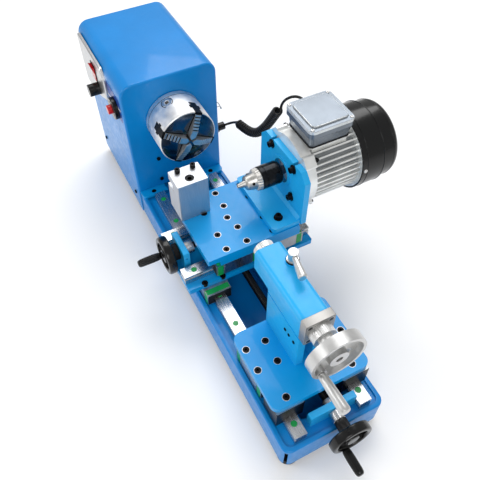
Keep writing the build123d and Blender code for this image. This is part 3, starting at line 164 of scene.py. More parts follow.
def prism(outline, length, centre, axis):
    """An outline of right and up distances carried straight along an axis."""
    flat = np.asarray(outline, float)
    local = np.stack([np.column_stack([flat, np.full(len(flat), end)]) for end in (0, length)])
    return skin(laid(local, centre, axis))


def turned_ring(section, centre, axis, sides=72):
    """A closed section of distance along the axis against radius, carried round the axis."""
    along, radius = np.asarray(section, float).T
    angle = np.linspace(0, 2 * np.pi, sides, endpoint=False)[:, None]
    local = np.stack([radius * np.cos(angle), radius * np.sin(angle),
                      np.broadcast_to(along, (sides, len(along)))], -1)
    return skin(laid(local, centre, axis), True)


def hollow_prism(outer, inner, length, centre, axis):
    """Two like outlines, one inside the other, carried straight along an axis as one wall."""
    outer, inner = np.asarray(outer, float), np.asarray(inner, float)
    wall = [(outer, 0), (outer, length), (inner, length), (inner, 0)]
    local = np.stack([np.column_stack([edge, np.full(len(edge), end)]) for edge, end in wall])
    return skin(laid(local, centre, axis), True)


def rounded(width, height, corner, steps=4):
    """Outline of a rectangle with quarter circles at its corners."""
    angle = np.linspace(0, np.pi / 2, steps + 1)
    turn = (np.arange(4) * np.pi / 2)[:, None] + angle[None, :]
    sign = np.array([(1, 1), (-1, 1), (-1, -1), (1, -1)])[:, None, :]
    middle = sign * (np.array([width, height]) / 2 - corner)
    return (middle + corner * np.stack([np.cos(turn), np.sin(turn)], -1)).reshape(-1, 2)


def polygon(radius, corners):
    """Outline of a regular polygon: points evenly spaced round a circle."""
    angle = np.linspace(0, 2 * np.pi, corners, endpoint=False)
    return radius * np.stack([np.cos(angle), np.sin(angle)], -1)


def tube_along(path, radius, sides):
    """A round section carried along a path: its right is the path's direction crossed with one
    fixed direction that no path here runs along, and its up is square to both."""
    forward = np.gradient(path, axis=0)
    forward /= np.linalg.norm(forward, axis=1)[:, None]
    fixed = np.array([0.31, 0.83, 0.46])
    right = np.cross(forward, fixed)
    right /= np.linalg.norm(right, axis=1)[:, None]
    up = np.cross(forward, right)
    angle = np.linspace(0, 2 * np.pi, sides, endpoint=False)[None, :, None]
    ring = np.cos(angle) * right[:, None] + np.sin(angle) * up[:, None]
    return skin(path[:, None] + radius * ring)


def threaded(start, end, radius, pitch, depth, centre, axis, sides=24, per_turn=10):
    """A screw thread as one skin: the radius is a flat-topped wave of the distance along the axis
    less the angle's share of a turn, clipped to give the flats of a trapezoidal thread."""
    count = int((end - start) / pitch * per_turn)
    along = np.linspace(start, end, count)
    angle = np.linspace(0, 2 * np.pi, sides, endpoint=False)
    phase = along[:, None] / pitch - angle[None, :] / (2 * np.pi)
    wave = np.clip(1.6 * np.cos(2 * np.pi * phase), -1, 1)
    reach = radius - depth * (0.5 - 0.5 * wave)
    local = np.stack([reach * np.cos(angle), reach * np.sin(angle),
                      np.broadcast_to(along[:, None], reach.shape)], -1)
    return skin(laid(local, centre, axis))


def piece(name, shells, finish, body=None, edge=0.0, crease=35.0):
    """Puts shells into one mesh, in place, with doubled points merged and faces outward, and gives
    it a finish and a body to ride on."""
    points, faces, start = [], [], 0
    for own_points, own_faces in shells:
        points.append(own_points)
        faces += [[start + i for i in face] for face in own_faces]
        start += len(own_points)
    mesh = bpy.data.meshes.new(name)
    mesh.from_pydata(row(np.concatenate(points)).tolist(), [], faces)
    work = bmesh.new()
    work.from_mesh(mesh)
    bmesh.ops.remove_doubles(work, verts=work.verts, dist=1e-6)
    bmesh.ops.recalc_face_normals(work, faces=work.faces)
    work.to_mesh(mesh)
    work.free()
    mesh.shade_smooth()
    mesh.set_sharp_from_angle(angle=np.radians(crease))
    mesh.materials.append(bpy.data.materials[finish])
    made = bpy.data.objects.new(name, mesh)
    bpy.context.scene.collection.objects.link(made)
    if edge:
        rounding = made.modifiers.new("edges", "BEVEL")
        rounding.width = edge * MM
        rounding.segments = 2
        rounding.limit_method = "ANGLE"
        rounding.angle_limit = np.radians(crease)
        rounding.harden_normals = True
    if body:
        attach(made, body)
    return made


# ---- finishes ------------------------------------------------------------------------------------
def linear(code):
    """The linear colour of an sRGB hex code."""
    share = np.array([int(code[i:i + 2], 16) for i in (1, 3, 5)]) / 255
    value = np.where(share <= 0.04045, share / 12.92, ((share + 0.055) / 1.055) ** 2.4)
    return (*value.tolist(), 1.0)


def add(tree, kind, values=(), links=(), **settings):
    """Adds a node with its own settings, its input values and its input links."""
    made = tree.nodes.new(kind)
    for key, value in settings.items():
        setattr(made, key, value)
    for key, value in dict(values).items():
        made.inputs[key].default_value = value
    for key, source in dict(links).items():
        tree.links.new(source, made.inputs[key])
    return made


def begin(name, **values):
    """A new material: its node tree, its shader with values set on it, and object coordinates."""
    material = bpy.data.materials.new(name)
    material.use_nodes = True
    tree = material.node_tree
    shader = tree.nodes["Principled BSDF"]
    for key, value in values.items():
        shader.inputs[key.replace("_", " ")].default_value = value
    return tree, shader, add(tree, "ShaderNodeTexCoord").outputs["Object"]


def specks(tree, place, size, detail=2.0, roughness=0.5, stretch=(1, 1, 1)):
    """A cloudy pattern whose spots are about a size in millimetres, drawn out by a stretch."""
    scaled = add(tree, "ShaderNodeMapping", {"Scale": [1 / s for s in stretch]}, {"Vector": place})
    return add(tree, "ShaderNodeTexNoise",
               {"Scale": 1 / (size * MM), "Detail": detail, "Roughness": roughness},
               {"Vector": scaled.outputs["Vector"]}).outputs["Fac"]


def between(tree, pattern, low, high, start=0.35, end=0.65):
    """The pattern's middle spread from a low to a high value."""
    return add(tree, "ShaderNodeMapRange",
               {"From Min": start, "From Max": end, "To Min": low, "To Max": high},
               {"Value": pattern}).outputs["Result"]


def mixed(tree, pattern, first, second):
    """A colour that goes from the first to the second with the pattern."""
    return add(tree, "ShaderNodeMix", {6: first, 7: second}, {0: pattern},
               data_type="RGBA").outputs[2]


def relief(tree, shader, pattern, depth, strength):
    """Raises the surface by the pattern, to a depth in millimetres."""
    bump = add(tree, "ShaderNodeBump", {"Strength": strength, "Distance": depth * MM},
               {"Height": pattern})
    tree.links.new(bump.outputs["Normal"], shader.inputs["Normal"])


def shade(tree, shader, pattern, colour, darker, lighter):
    """Varies a colour between two shares of its own brightness."""
    dark, light = ([c * share for c in colour[:3]] + [1.0] for share in (darker, lighter))
    tree.links.new(mixed(tree, between(tree, pattern, 0, 1), dark, light),
                   shader.inputs["Base Color"])


def powder_coat(name, colour):
    """Powder-coated steel: sprayed polyester powder melted to a skin. It is glossy, with a faint
    orange peel and a faint cloudy change of tone."""
    tree, shader, place = begin(name, Roughness=0.34, IOR=1.34, Coat_Weight=0.18,
                                Coat_Roughness=0.06)
    shade(tree, shader, specks(tree, place, 70, 2), colour, 0.95, 1.05)
    rough = specks(tree, place, 9, 4)
    tree.links.new(between(tree, rough, 0.28, 0.42), shader.inputs["Roughness"])
    # Orange peel is about 1.5 mm from crest to crest.
    relief(tree, shader, specks(tree, place, 1.6, 1), 0.04, 0.12)


def drawn_metal(name, colour, roughness, grain, stretch, depth=0.02, contrast=0.1):
    """Ground or brushed bare metal: fine scratches side by side along the work's feed, which draw
    each highlight out across them. The metal keeps the usual IOR."""
    tree, shader, place = begin(name, Metallic=1.0, Roughness=roughness)
    lines = specks(tree, place, grain, 3, 0.6, stretch)
    shade(tree, shader, lines, colour, 1 - contrast, 1 + contrast / 2)
    tree.links.new(between(tree, lines, roughness * 0.8, roughness * 1.25),
                   shader.inputs["Roughness"])
    relief(tree, shader, lines, depth, 0.35)


def turned_metal(name, colour, roughness, centre, across, grain=0.6, contrast=0.12):
    """Turned metal: the tool's feed leaves rings round the axis, on the rim and on the face, with
    a thin film of oil in patches. The pattern runs on the distance from the axis and along it."""
    tree, shader, place = begin(name, Metallic=1.0, Roughness=roughness)
    moved = add(tree, "ShaderNodeVectorMath", {1: row(centre)}, {0: place}, operation="SUBTRACT")
    flat = add(tree, "ShaderNodeVectorMath", {1: across}, {0: moved.outputs[0]},
               operation="MULTIPLY")
    reach = add(tree, "ShaderNodeVectorMath", {}, {0: flat.outputs[0]}, operation="LENGTH")
    ahead = add(tree, "ShaderNodeVectorMath", {1: [1 - a for a in across]},
                {0: moved.outputs[0]}, operation="DOT_PRODUCT")
    rings = add(tree, "ShaderNodeCombineXYZ", {}, {"X": reach.outputs["Value"],
                                                   "Y": ahead.outputs["Value"]})
    lines = specks(tree, rings.outputs[0], grain, 3, 0.6)
    film = specks(tree, place, 14, 2)
    both = add(tree, "ShaderNodeMath", {}, {0: lines, 1: film}, operation="ADD").outputs[0]
    half = add(tree, "ShaderNodeMath", {1: 0.5}, {0: both}, operation="MULTIPLY").outputs[0]
    shade(tree, shader, half, colour, 1 - contrast, 1 + contrast / 2)
    tree.links.new(between(tree, half, roughness * 0.75, roughness * 1.3),
                   shader.inputs["Roughness"])
    relief(tree, shader, lines, 0.02, 0.3)


def cast_metal(name, colour, roughness, grain=1.1, depth=0.12):
    """Die-cast aluminium, shot-blasted: a dull even grain of fine pits and a cloudy change of tone.
    """
    tree, shader, place = begin(name, Metallic=0.55, Roughness=roughness, IOR=1.5)
    pits = specks(tree, place, grain, 4, 0.6)
    cloud = specks(tree, place, 24, 2)
    shade(tree, shader, cloud, colour, 0.9, 1.06)
    tree.links.new(between(tree, pits, roughness * 0.85, roughness * 1.15),
                   shader.inputs["Roughness"])
    relief(tree, shader, pits, depth, 0.4)


def moulded(name, colour, roughness, grain, depth, coat=0.0, strength=0.3):
    """Moulded plastic or rubber: one colour right through, a fine spark-eroded grain from the mould
    and a soft or a wet gloss."""
    tree, shader, place = begin(name, Roughness=roughness, IOR=1.38, Coat_Weight=coat,
                                Coat_Roughness=0.05)
    shade(tree, shader, specks(tree, place, 18, 3), colour, 0.85, 1.15)
    fine = specks(tree, place, grain, 2)
    tree.links.new(between(tree, fine, roughness * 0.85, roughness * 1.15),
                   shader.inputs["Roughness"])
    relief(tree, shader, fine, depth, strength)


def black_metal(name, colour, roughness):
    """Oxide-blackened steel: a thin oiled black film over machined metal, greyer in patches."""
    tree, shader, place = begin(name, Metallic=0.75, Roughness=roughness)
    patches = specks(tree, place, 4, 3)
    shade(tree, shader, patches, colour, 0.7, 1.5)
    fine = specks(tree, place, 0.7, 3)
    tree.links.new(between(tree, fine, roughness * 0.75, roughness * 1.3),
                   shader.inputs["Roughness"])
    relief(tree, shader, fine, 0.02, 0.3)


ALONG_X = (0, 1, 1)  # keeps the two directions across a shaft that lies along X
ALONG_Y = (1, 0, 1)  # and along Y


def paint_all(colours):
    """Makes every finish, by what the real part is made of."""
    # One sprayed blue on folded sheet, on thick plates and, a little lighter, on the housings.
    powder_coat("powder_coat_sheet", colours.sheet)
    powder_coat("powder_coat_plate", colours.plate)
    powder_coat("powder_coat_housing", colours.housing)
    powder_coat("powder_coat_label", colours.label)
    # Ground rails and blocks: a bright band that is drawn out across the grinding lines. The lines
    # are under 0.1 mm apart, and are drawn 0.5 mm apart so that they show.
    drawn_metal("ground_steel_along", colours.steel, 0.24, 0.5, (60, 1, 1))
    drawn_metal("ground_steel_across", colours.steel, 0.24, 0.5, (1, 60, 1))
    drawn_metal("ground_steel_block", linear("#B4B6B8"), 0.3, 0.6, (1, 1, 30))
    # Milled and brushed aluminium and nickel-plated steel: softer, greyer and streaked.
    drawn_metal("brushed_aluminium", linear("#C4C6CA"), 0.46, 0.5, (1, 1, 40), 0.03, 0.14)
    drawn_metal("brushed_flange", linear("#A9A7A4"), 0.42, 0.6, (1, 1, 12), 0.03, 0.12)
    drawn_metal("brushed_bezel", linear("#C9CACB"), 0.34, 0.5, (50, 1, 1), 0.02, 0.08)
    drawn_metal("jaw_steel_ground", linear("#CFCFCE"), 0.36, 0.5, (1, 20, 20), 0.02, 0.16)
    # Turned steel: rings round the axis, near white on the chuck's rim and dark on its face, where
    # a painted reflection of the room's dark side darkens the polished face's colour.
    turned_metal("chuck_steel_turned", linear("#F0EEEB"), 0.44, SPINDLE, ALONG_X)
    turned_metal("chuck_face_painted_reflection", linear("#56606C"), 0.16, SPINDLE, ALONG_X, 0.9)
    turned_metal("spindle_steel_turned", linear("#A8A8A8"), 0.3, SPINDLE, ALONG_X)
    turned_metal("nickel_tailstock", linear("#D2D2D1"), 0.4, SPINDLE, ALONG_X, 0.8, 0.1)
    turned_metal("nickel_drill", linear("#C6C4C0"), 0.34, (TOOL_X, 0, SPINDLE_HEIGHT),
                 ALONG_Y, 0.8, 0.1)
    turned_metal("collar_steel", linear("#CBCBCB"), 0.25, (0, 6.5, 77.0), ALONG_X)
    # Die castings: pale and even on the motor; a glossier box, darker with painted shade on its
    # sides under a paler lid with painted light on its top; a dull band of painted shade between
    # the fins.
    cast_metal("motor_cast_aluminium", linear("#F0F1EF"), 0.36)
    cast_metal("terminal_zinc_painted_shade", linear("#737B84"), 0.22, 1.4, 0.03)
    cast_metal("terminal_lid_painted_light", linear("#D4D8DA"), 0.32, 0.9, 0.04)
    cast_metal("fin_gap_painted_shade", linear("#85898B"), 0.5)
    cast_metal("cast_iron_dark", linear("#4A4C4F"), 0.5)
    cast_metal("bronze_cast", linear("#A77B45"), 0.4, 0.8, 0.05)
    # Rubber is dull and drinks the light; switch plastics and phenolic handles show sharp glints.
    moulded("rubber_black", linear("#0E0F10"), 0.62, 1.2, 0.1)
    moulded("rubber_belt", linear("#1B1B1B"), 0.8, 0.8, 0.1)
    moulded("plastic_black_gloss", linear("#040506"), 0.2, 1.5, 0.02, 0.1, 0.12)
    moulded("plastic_black_satin", linear("#0B0C0E"), 0.34, 0.9, 0.04, 0.0)
    moulded("bakelite_black", linear("#050506"), 0.2, 2.2, 0.02, 0.15, 0.1)
    moulded("plastic_red", linear("#C4121B"), 0.28, 1.5, 0.03, 0.4, 0.15)
    moulded("plastic_white", linear("#E8E8E6"), 0.4, 1.2, 0.04)
    moulded("plastic_green", colours.green, 0.34, 1.0, 0.05, 0.2)
    moulded("cord_jacket_black", linear("#060607"), 0.34, 0.8, 0.02, 0.0)
    # Blackened steel: screws are darkest, threads are worn grey on their crests, the sleeve shines.
    black_metal("black_oxide_screws", linear("#0E0E10"), 0.36)
    black_metal("black_oxide_thread", linear("#1A1B1D"), 0.3)
    black_metal("drill_sleeve_black", linear("#14171B"), 0.2)


SLOT_FINISH = {
    "blue_sheet": "powder_coat_sheet",
    "blue_plate": "powder_coat_plate",
    "ground_steel": "ground_steel_along",
    "block_steel": "ground_steel_block",
    "black_rubber": "rubber_black",
    "black_oxide": "black_oxide_screws",
    "cast_body": "cast_iron_dark",
    "belt_rubber": "rubber_belt",
    "bright_chuck": "chuck_steel_turned",
    "jaw_steel": "jaw_steel_ground",
    "spindle_steel": "spindle_steel_turned",
    "silver_bezel": "brushed_bezel",
    "red_plastic": "plastic_red",
    "black_plastic": "plastic_black_gloss",
    "black_bakelite": "bakelite_black",
    "bronze_nut": "bronze_cast",
    "tool_aluminium": "brushed_aluminium",
    "motor_aluminium": "motor_cast_aluminium",
    "cord_jacket": "cord_jacket_black",
    "bright_nickel": "nickel_tailstock",
    "screw_black": "black_oxide_thread",
}
NODE_FINISH = {  # nodes whose finish runs another way than their slot's
    "cross_rails": "ground_steel_across",
    "terminal_box": "terminal_zinc_painted_shade",
    "lead_screw_bearings": "powder_coat_housing",
    "cross_screw_bearing": "powder_coat_housing",
    "tailstock_housing": "powder_coat_housing",
    "tailstock_support": "powder_coat_housing",
    "motor_bracket": "powder_coat_housing",
    "drill_chuck": "nickel_drill",
    "stop_switch_housing": "plastic_black_gloss",
}
NODE_EDGE = {  # width of the broken edges, in millimetres
    "headstock_cover": 0.8,
    "saddle_plate": 0.7,
    "cross_table": 0.7,
    "tailstock_base": 0.7,
    "motor_bracket": 0.8,
    "headstock_base_plate": 0.6,
    "tailstock_support": 0.8,
    "tailstock_housing": 0.6,
    "lead_screw_bearings": 0.3,
    "cross_screw_bearing": 0.3,
}


UNBROKEN = ("bed_tray",)  # its edges are rounded already


# ---- what a user may change ----------------------------------------------------------------------
class LatheColours(bpy.types.PropertyGroup):
    """Colours of the finishes that set the machine's look."""

    sheet: bpy.props.FloatVectorProperty(
        name="Sheet coat", description="Powder coat on the bed tray and the headstock cover",
        subtype="COLOR", size=4, min=0, max=1, default=linear("#007FCA"))
    plate: bpy.props.FloatVectorProperty(
        name="Plate coat", description="Powder coat on the machined plates",
        subtype="COLOR", size=4, min=0, max=1, default=linear("#0093D8"))
    housing: bpy.props.FloatVectorProperty(
        name="Housing coat", description="Lighter powder coat on the tailstock and the brackets",
        subtype="COLOR", size=4, min=0, max=1, default=linear("#20A8E6"))
    label: bpy.props.FloatVectorProperty(
        name="Label plate", description="Dark ground of the blank label plate",
        subtype="COLOR", size=4, min=0, max=1, default=linear("#0A3F98"))
    steel: bpy.props.FloatVectorProperty(
        name="Rail steel", description="Ground steel of the profile rails",
        subtype="COLOR", size=4, min=0, max=1, default=linear("#C9CACC"))
    green: bpy.props.FloatVectorProperty(
        name="Green plastic", description="Rail plugs and the rail blocks' end caps",
        subtype="COLOR", size=4, min=0, max=1, default=linear("#12984A"))
    floor: bpy.props.FloatVectorProperty(
        name="Floor", description="Pale floor of the stage",
        subtype="COLOR", size=4, min=0, max=1, default=linear("#FDFDFD"))


class LatheSizes(bpy.types.PropertyGroup):
    """Sizes of the fine parts, in metres."""

    plug_radius: bpy.props.FloatProperty(
        name="Plug radius", description="Radius of the plugs in the rails' bolt holes",
        unit="LENGTH", default=0.0047, min=0.002, max=0.006)
    cap_depth: bpy.props.FloatProperty(
        name="End cap depth", description="Length of a rail block's green end cap",
        unit="LENGTH", default=0.0095, min=0.004, max=0.012)
    wire: bpy.props.FloatProperty(
        name="Cord thickness", description="Outer diameter of the motor's cord",
        unit="LENGTH", default=0.0046, min=0.003, max=0.006)
    coil_radius: bpy.props.FloatProperty(
        name="Coil radius", description="Radius of the curly cord's helix at the wire's middle",
        unit="LENGTH", default=0.0065, min=0.004, max=0.008)
    coil_pitch: bpy.props.FloatProperty(
        name="Coil pitch", description="Distance from one turn of the curly cord to the next",
        unit="LENGTH", default=0.0059, min=0.0047, max=0.01)
    lead_pitch: bpy.props.FloatProperty(
        name="Lead screw pitch", description="Pitch of the trapezoidal feed screws",
        unit="LENGTH", default=0.003, min=0.0015, max=0.005)
    edge: bpy.props.FloatProperty(
        name="Broken edge", description="Width of the broken edges on plain metal parts",
        unit="LENGTH", default=0.0004, min=0.0001, max=0.002)


# ---- stage ---------------------------------------------------------------------------------------
class LATHE_OT_stage(bpy.types.Operator):
    """Pale floor, soft lights and the camera"""

    bl_idname = "lathe.stage"
    bl_label = "Stage"

    def execute(self, context):
        scene = context.scene
        tree, shader, place = begin("floor_matt_board", Roughness=0.85)
        shade(tree, shader, specks(tree, place, 300, 2), scene.lathe_colours.floor, 0.99, 1.01)
        reach = np.linspace(-3, 3, 9)
        x, y = np.meshgrid(reach, reach, indexing="ij")
        points = np.stack([x, y, np.zeros_like(x)], -1).reshape(-1, 3)
        r, c = (a.ravel() for a in np.meshgrid(np.arange(8), np.arange(8), indexing="ij"))
        faces = np.stack([r * 9 + c, (r + 1) * 9 + c, (r + 1) * 9 + c + 1, r * 9 + c + 1], -1)
        mesh = bpy.data.meshes.new("floor")
        mesh.from_pydata(points.tolist(), [], faces.tolist())
        mesh.materials.append(bpy.data.materials["floor_matt_board"])
        floor = bpy.data.objects.new("floor", mesh)
        scene.collection.objects.link(floor)
        floor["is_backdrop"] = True

        world = bpy.data.worlds.new("studio")
        world.use_nodes = True
        world.node_tree.nodes["Background"].inputs["Color"].default_value = (1, 1, 1, 1)
        world.node_tree.nodes["Background"].inputs["Strength"].default_value = 0.55
        scene.world = world
        scene.view_settings.view_transform = "Standard"
        lights = (  # name, place, aim, size and power
            ("overhead_softbox", (-0.9, 0.6, 1.7), (0, 0, 0.1), 1.3, 22),
            ("front_softbox", (1.3, -0.6, 1.3), (0.1, 0, 0.1), 0.8, 9),
            ("side_fill", (-0.5, -1.4, 1.0), (-0.1, 0, 0.1), 0.7, 6),
        )
        for name, place, aim, size, power in lights:
            lamp = bpy.data.lights.new(name, "AREA")
            lamp.shape = "SQUARE"
            lamp.size = size
            lamp.energy = power
            holder = bpy.data.objects.new(name, lamp)
            holder.location = place
            facing = Vector(aim) - Vector(place)
            holder.rotation_euler = facing.to_track_quat("-Z", "Y").to_euler()
            scene.collection.objects.link(holder)

        camera = bpy.data.cameras.new("camera")
        camera.sensor_width = 36.0
        camera.lens = 41.3
        holder = bpy.data.objects.new("camera", camera)
        target = Vector((0.01624, -0.04264, 0.100))
        holder.location = (0.5421, -0.30815, 0.8438)
        facing = (target - holder.location).to_track_quat("-Z", "Y")
        holder.rotation_euler = (facing.to_matrix() @ Matrix.Rotation(
            np.radians(-0.5), 3, "Z")).to_euler()
        scene.collection.objects.link(holder)
        scene.camera = holder
        return {"FINISHED"}


# ---- the CAD's own parts -------------------------------------------------------------------------
def weld_and_shade():
    """Node group that welds a mesh's loose triangles and shades it smooth up to a crease angle."""
    tree = bpy.data.node_groups.new("weld_and_shade", "GeometryNodeTree")
    tree.interface.new_socket("Geometry", in_out="INPUT", socket_type="NodeSocketGeometry")
    tree.interface.new_socket("Geometry", in_out="OUTPUT", socket_type="NodeSocketGeometry")
    given = add(tree, "NodeGroupInput")
    joined = add(tree, "GeometryNodeMergeByDistance", {"Distance": 2e-6},
                 {"Geometry": given.outputs[0]})
    smooth = add(tree, "GeometryNodeSetShadeSmooth", {"Shade Smooth": True},
                 {"Geometry": joined.outputs[0]}, domain="FACE")
    angle = add(tree, "GeometryNodeInputMeshEdgeAngle")
    sharp = add(tree, "FunctionNodeCompare", {1: np.radians(28)}, {0: angle.outputs[0]},
                data_type="FLOAT", operation="GREATER_THAN")
    creased = add(tree, "GeometryNodeSetShadeSmooth", {"Shade Smooth": False},
                  {"Geometry": smooth.outputs[0], "Selection": sharp.outputs[0]}, domain="EDGE")
    add(tree, "NodeGroupOutput", {}, {0: creased.outputs[0]})
    return tree


class LATHE_OT_finishes(bpy.types.Operator):
    """Finish and broken edges for every part of the frame"""

    bl_idname = "lathe.finishes"
    bl_label = "Finishes"

    def execute(self, context):
        paint_all(context.scene.lathe_colours)
        welded = weld_and_shade()
        slots = {part["node"]: part["material_slot"] for part in frame["record"]["subparts"]}
        for name, part in frame["nodes"].items():
            finish = NODE_FINISH.get(name, SLOT_FINISH[slots[name]])
            part.data.materials.clear()
            part.data.materials.append(bpy.data.materials[finish])
            part.modifiers.new("weld", "NODES").node_group = welded
            if name in UNBROKEN:
                continue
            flat = part.modifiers.new("flats", "DECIMATE")
            flat.decimate_type = "DISSOLVE"
            flat.angle_limit = np.radians(0.6)
            rounding = part.modifiers.new("edges", "BEVEL")
            rounding.width = NODE_EDGE.get(name, context.scene.lathe_sizes.edge / MM) * MM
            rounding.segments = 2
            rounding.limit_method = "ANGLE"
            rounding.angle_limit = np.radians(40)
            rounding.harden_normals = True
        return {"FINISHED"}


# ---- cord ----------------------------------------------------------------------------------------
GLAND_ROUTE = [(-152, 105.4, 150), (-151.5, 114.5, 150.8), (-146, 122, 155), (-136, 125, 161.5)]
COIL_ROUTE = [(-136, 125, 161.5), (-115, 128.5, 162.5), (-93, 132, 166.5), (-74, 136, 178),
              (-58, 140, 199), (-43, 144, 226), (-22, 144, 262)]
BOX_ROUTE = [(-12, 150, 289), (0, 159, 301), (17, 165, 305.5), (33.4, 166, 301.6)]


def smooth_line(name, route, count):
    """Points evenly spaced along the NURBS spline that a route's points control, in machine
    millimetres."""
    curve = bpy.data.curves.new(name, "CURVE")
    curve.dimensions = "3D"
    curve.resolution_u = 48
    spline = curve.splines.new("NURBS")
    spline.points.add(len(route) - 1)
    spline.points.foreach_set("co", np.column_stack([row(route), np.ones(len(route))]).ravel())
    spline.order_u = 3
    spline.use_endpoint_u = True
    holder = bpy.data.objects.new(name, curve)
    drawn = bpy.data.meshes.new_from_object(holder)
    points = np.empty(len(drawn.vertices) * 3)
    drawn.vertices.foreach_get("co", points)
    points = points.reshape(-1, 3) / MM + DATUM
    bpy.data.objects.remove(holder)
    bpy.data.meshes.remove(drawn)
    reached = np.concatenate([[0], np.cumsum(np.linalg.norm(np.diff(points, axis=0), axis=1))])
    even = np.linspace(0, reached[-1], count)
    return np.stack([np.interp(even, reached, points[:, i]) for i in range(3)], -1), reached[-1]


def path_length(points):
    """Length of a run of points, in metres."""
    return float(np.linalg.norm(np.diff(row(points), axis=0), axis=1).sum())


class LATHE_OT_cord(bpy.types.Operator):
    """Curly cord from the headstock's gland to the terminal box"""

    bl_idname = "lathe.cord"
    bl_label = "Cord"

    def execute(self, context):
        sizes = context.scene.lathe_sizes
        wire, radius, pitch = (s / MM for s in (sizes.wire, sizes.coil_radius, sizes.coil_pitch))
        lead_in, _ = smooth_line("gland_route", GLAND_ROUTE, 40)
        middle, reach = smooth_line("coil_route", COIL_ROUTE, 1200)
        # The helix circles the route at the coil's radius, a turn to each pitch, and opens out from
        # the route over its first turn.
        done = np.linspace(0, 1, len(middle))
        turns = np.round((reach - 6) / pitch)
        angle = 2 * np.pi * turns * done
        opening = np.clip(done * turns, 0, 1)
        size = radius * opening * opening * (3 - 2 * opening)
        forward = np.gradient(middle, axis=0)
        forward /= np.linalg.norm(forward, axis=1)[:, None]
        side = np.array([0, 1.0, 0]) - forward[:, 1:2] * forward
        side /= np.linalg.norm(side, axis=1)[:, None]
        above = np.cross(forward, side)
        helix = middle + size[:, None] * (np.cos(angle)[:, None] * side
                                          + np.sin(angle)[:, None] * above)
        path = np.concatenate([lead_in[:-1], helix])
        cord = piece("curly_cord", [tube_along(path, wire / 2, 10)], "cord_jacket_black")
        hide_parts("cord_gland_tail", "cord_coil")
        row(GLAND_ROUTE[0])
        row(COIL_ROUTE[-1])
        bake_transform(cord)
        row(GLAND_ROUTE[0])
        path_length(path)
        row(path).tolist()

        # The box lead leaves the last turn along it.
        leaving = helix[-1] + 5 * (helix[-1] - helix[-4]) / np.linalg.norm(helix[-1] - helix[-4])
        start = tuple(helix[-1].tolist())
        tail, _ = smooth_line("box_route", [start, tuple(leaving.tolist()), *BOX_ROUTE], 60)
        lead = piece("box_lead", [tube_along(tail, wire / 2, 16)], "cord_jacket_black")
        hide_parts("cord_box_tail")
        row(start)
        row(BOX_ROUTE[-1])
        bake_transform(lead)
        row(start)
        path_length(tail)
        row(tail).tolist()
        return {"FINISHED"}


# ---- rails and blocks ----------------------------------------------------------------------------
def plugs(centres, radius):
    """Round plugs set in bolt holes: a flat disc with a soft rim, standing just over the rail."""
    profile = [(-3, 0), (-3, radius), (-0.1, radius), (0.25, radius - 0.5), (0.25, 0)]
    return [turned(profile, centre, "+Z", 32) for centre in centres]


class LATHE_OT_rail_plugs(bpy.types.Operator):
    """Green plugs in the rails' bolt holes"""

    bl_idname = "lathe.rail_plugs"
    bl_label = "Rail plugs"

    def execute(self, context):
        radius = context.scene.lathe_sizes.plug_radius / MM
        inset, pitch = 20.0, 60.0
        half_rail = RAIL_WIDTH / 2
        low, high = span("bed_rails")
        bed = [(x, y, high[2]) for y in (low[1] + half_rail, high[1] - half_rail)
               for x in np.arange(low[0] + inset, high[0] - inset / 2, pitch)]
        piece("bed_rail_plugs", plugs(bed, radius), "plastic_green", "bed")
        low, high = span("cross_rails")
        cross = [(x, low[1] + inset + pitch * k, high[2]) for k in range(4)
                 for x in (low[0] + half_rail, high[0] - half_rail)]
        piece("cross_rail_plugs", plugs(cross, radius), "plastic_green", "saddle")
        return {"FINISHED"}


def saddle_section(half, low, high, slot, ceiling):
    """Outline of a rail block's end: a box with a slot over the rail."""
    return [(-half, low), (-slot, low), (-slot, ceiling), (slot, ceiling), (slot, low), (half, low),
            (half, high - 2), (half - 2, high), (2 - half, high), (-half, high - 2)]


def block_ends(name, blocks, seat, axes, body, depth):
    """Green end caps and the black wipers in front of them, on both ends of each block."""
    lift, top, half, wiper = 4.6, 29.5, 21.7, 2.4
    outline = saddle_section(half, lift, top, 10.4, 17.9)
    lip = saddle_section(half - 1.2, lift + 0.8, top - 1.6, 10.15, 17.7)
    caps, seals = [], []
    for x, y in blocks:
        for axis in axes:
            forward = np.array(AXES[axis][2], float)
            start = np.array([x, y, seat]) + forward * (BLOCK_HALF_LENGTH - wiper - depth)
            caps.append(prism(outline, depth, start, axis))
            seals.append(prism(lip, wiper + 0.15, start + forward * depth, axis))
    piece(f"{name}_end_caps", caps, "plastic_green", body, 0.4)
    piece(f"{name}_wipers", seals, "rubber_black", body, 0.3)


class LATHE_OT_block_ends(bpy.types.Operator):
    """End caps and wipers of the rail blocks"""

    bl_idname = "lathe.block_ends"
    bl_label = "Rail block ends"

    def execute(self, context):
        depth = context.scene.lathe_sizes.cap_depth / MM
        half, half_width = BLOCK_HALF_LENGTH, 22.0
        seat = span("bed_rails")[0][2]
        low, high = span("saddle_blocks")
        saddle = [(x, y) for x in (high[0] - half, low[0] + half) for y in (-RAIL_Y, RAIL_Y)]
        block_ends("saddle", saddle, seat, ("+X", "-X"), "saddle", depth)
        low, high = span("tailstock_blocks")
        tailstock = [(low[0] + half, y) for y in (-RAIL_Y, RAIL_Y)]
        block_ends("tailstock", tailstock, seat, ("+X", "-X"), "tailstock", depth)
        low, high = span("cross_blocks")
        cross = [(x, y) for x in (low[0] + half_width, high[0] - half_width)
                 for y in (low[1] + half, high[1] - half)]
        block_ends("cross_slide", cross, span("cross_rails")[0][2], ("+Y", "-Y"), "cross_slide",
                   depth)
        return {"FINISHED"}


# ---- handwheels, handles and screws --------------------------------------------------------------
WHEEL_RADIUS, WHEEL_WIDTH, WHEEL_HUB = 32.0, 15.0, 11.5  # of both black handwheels


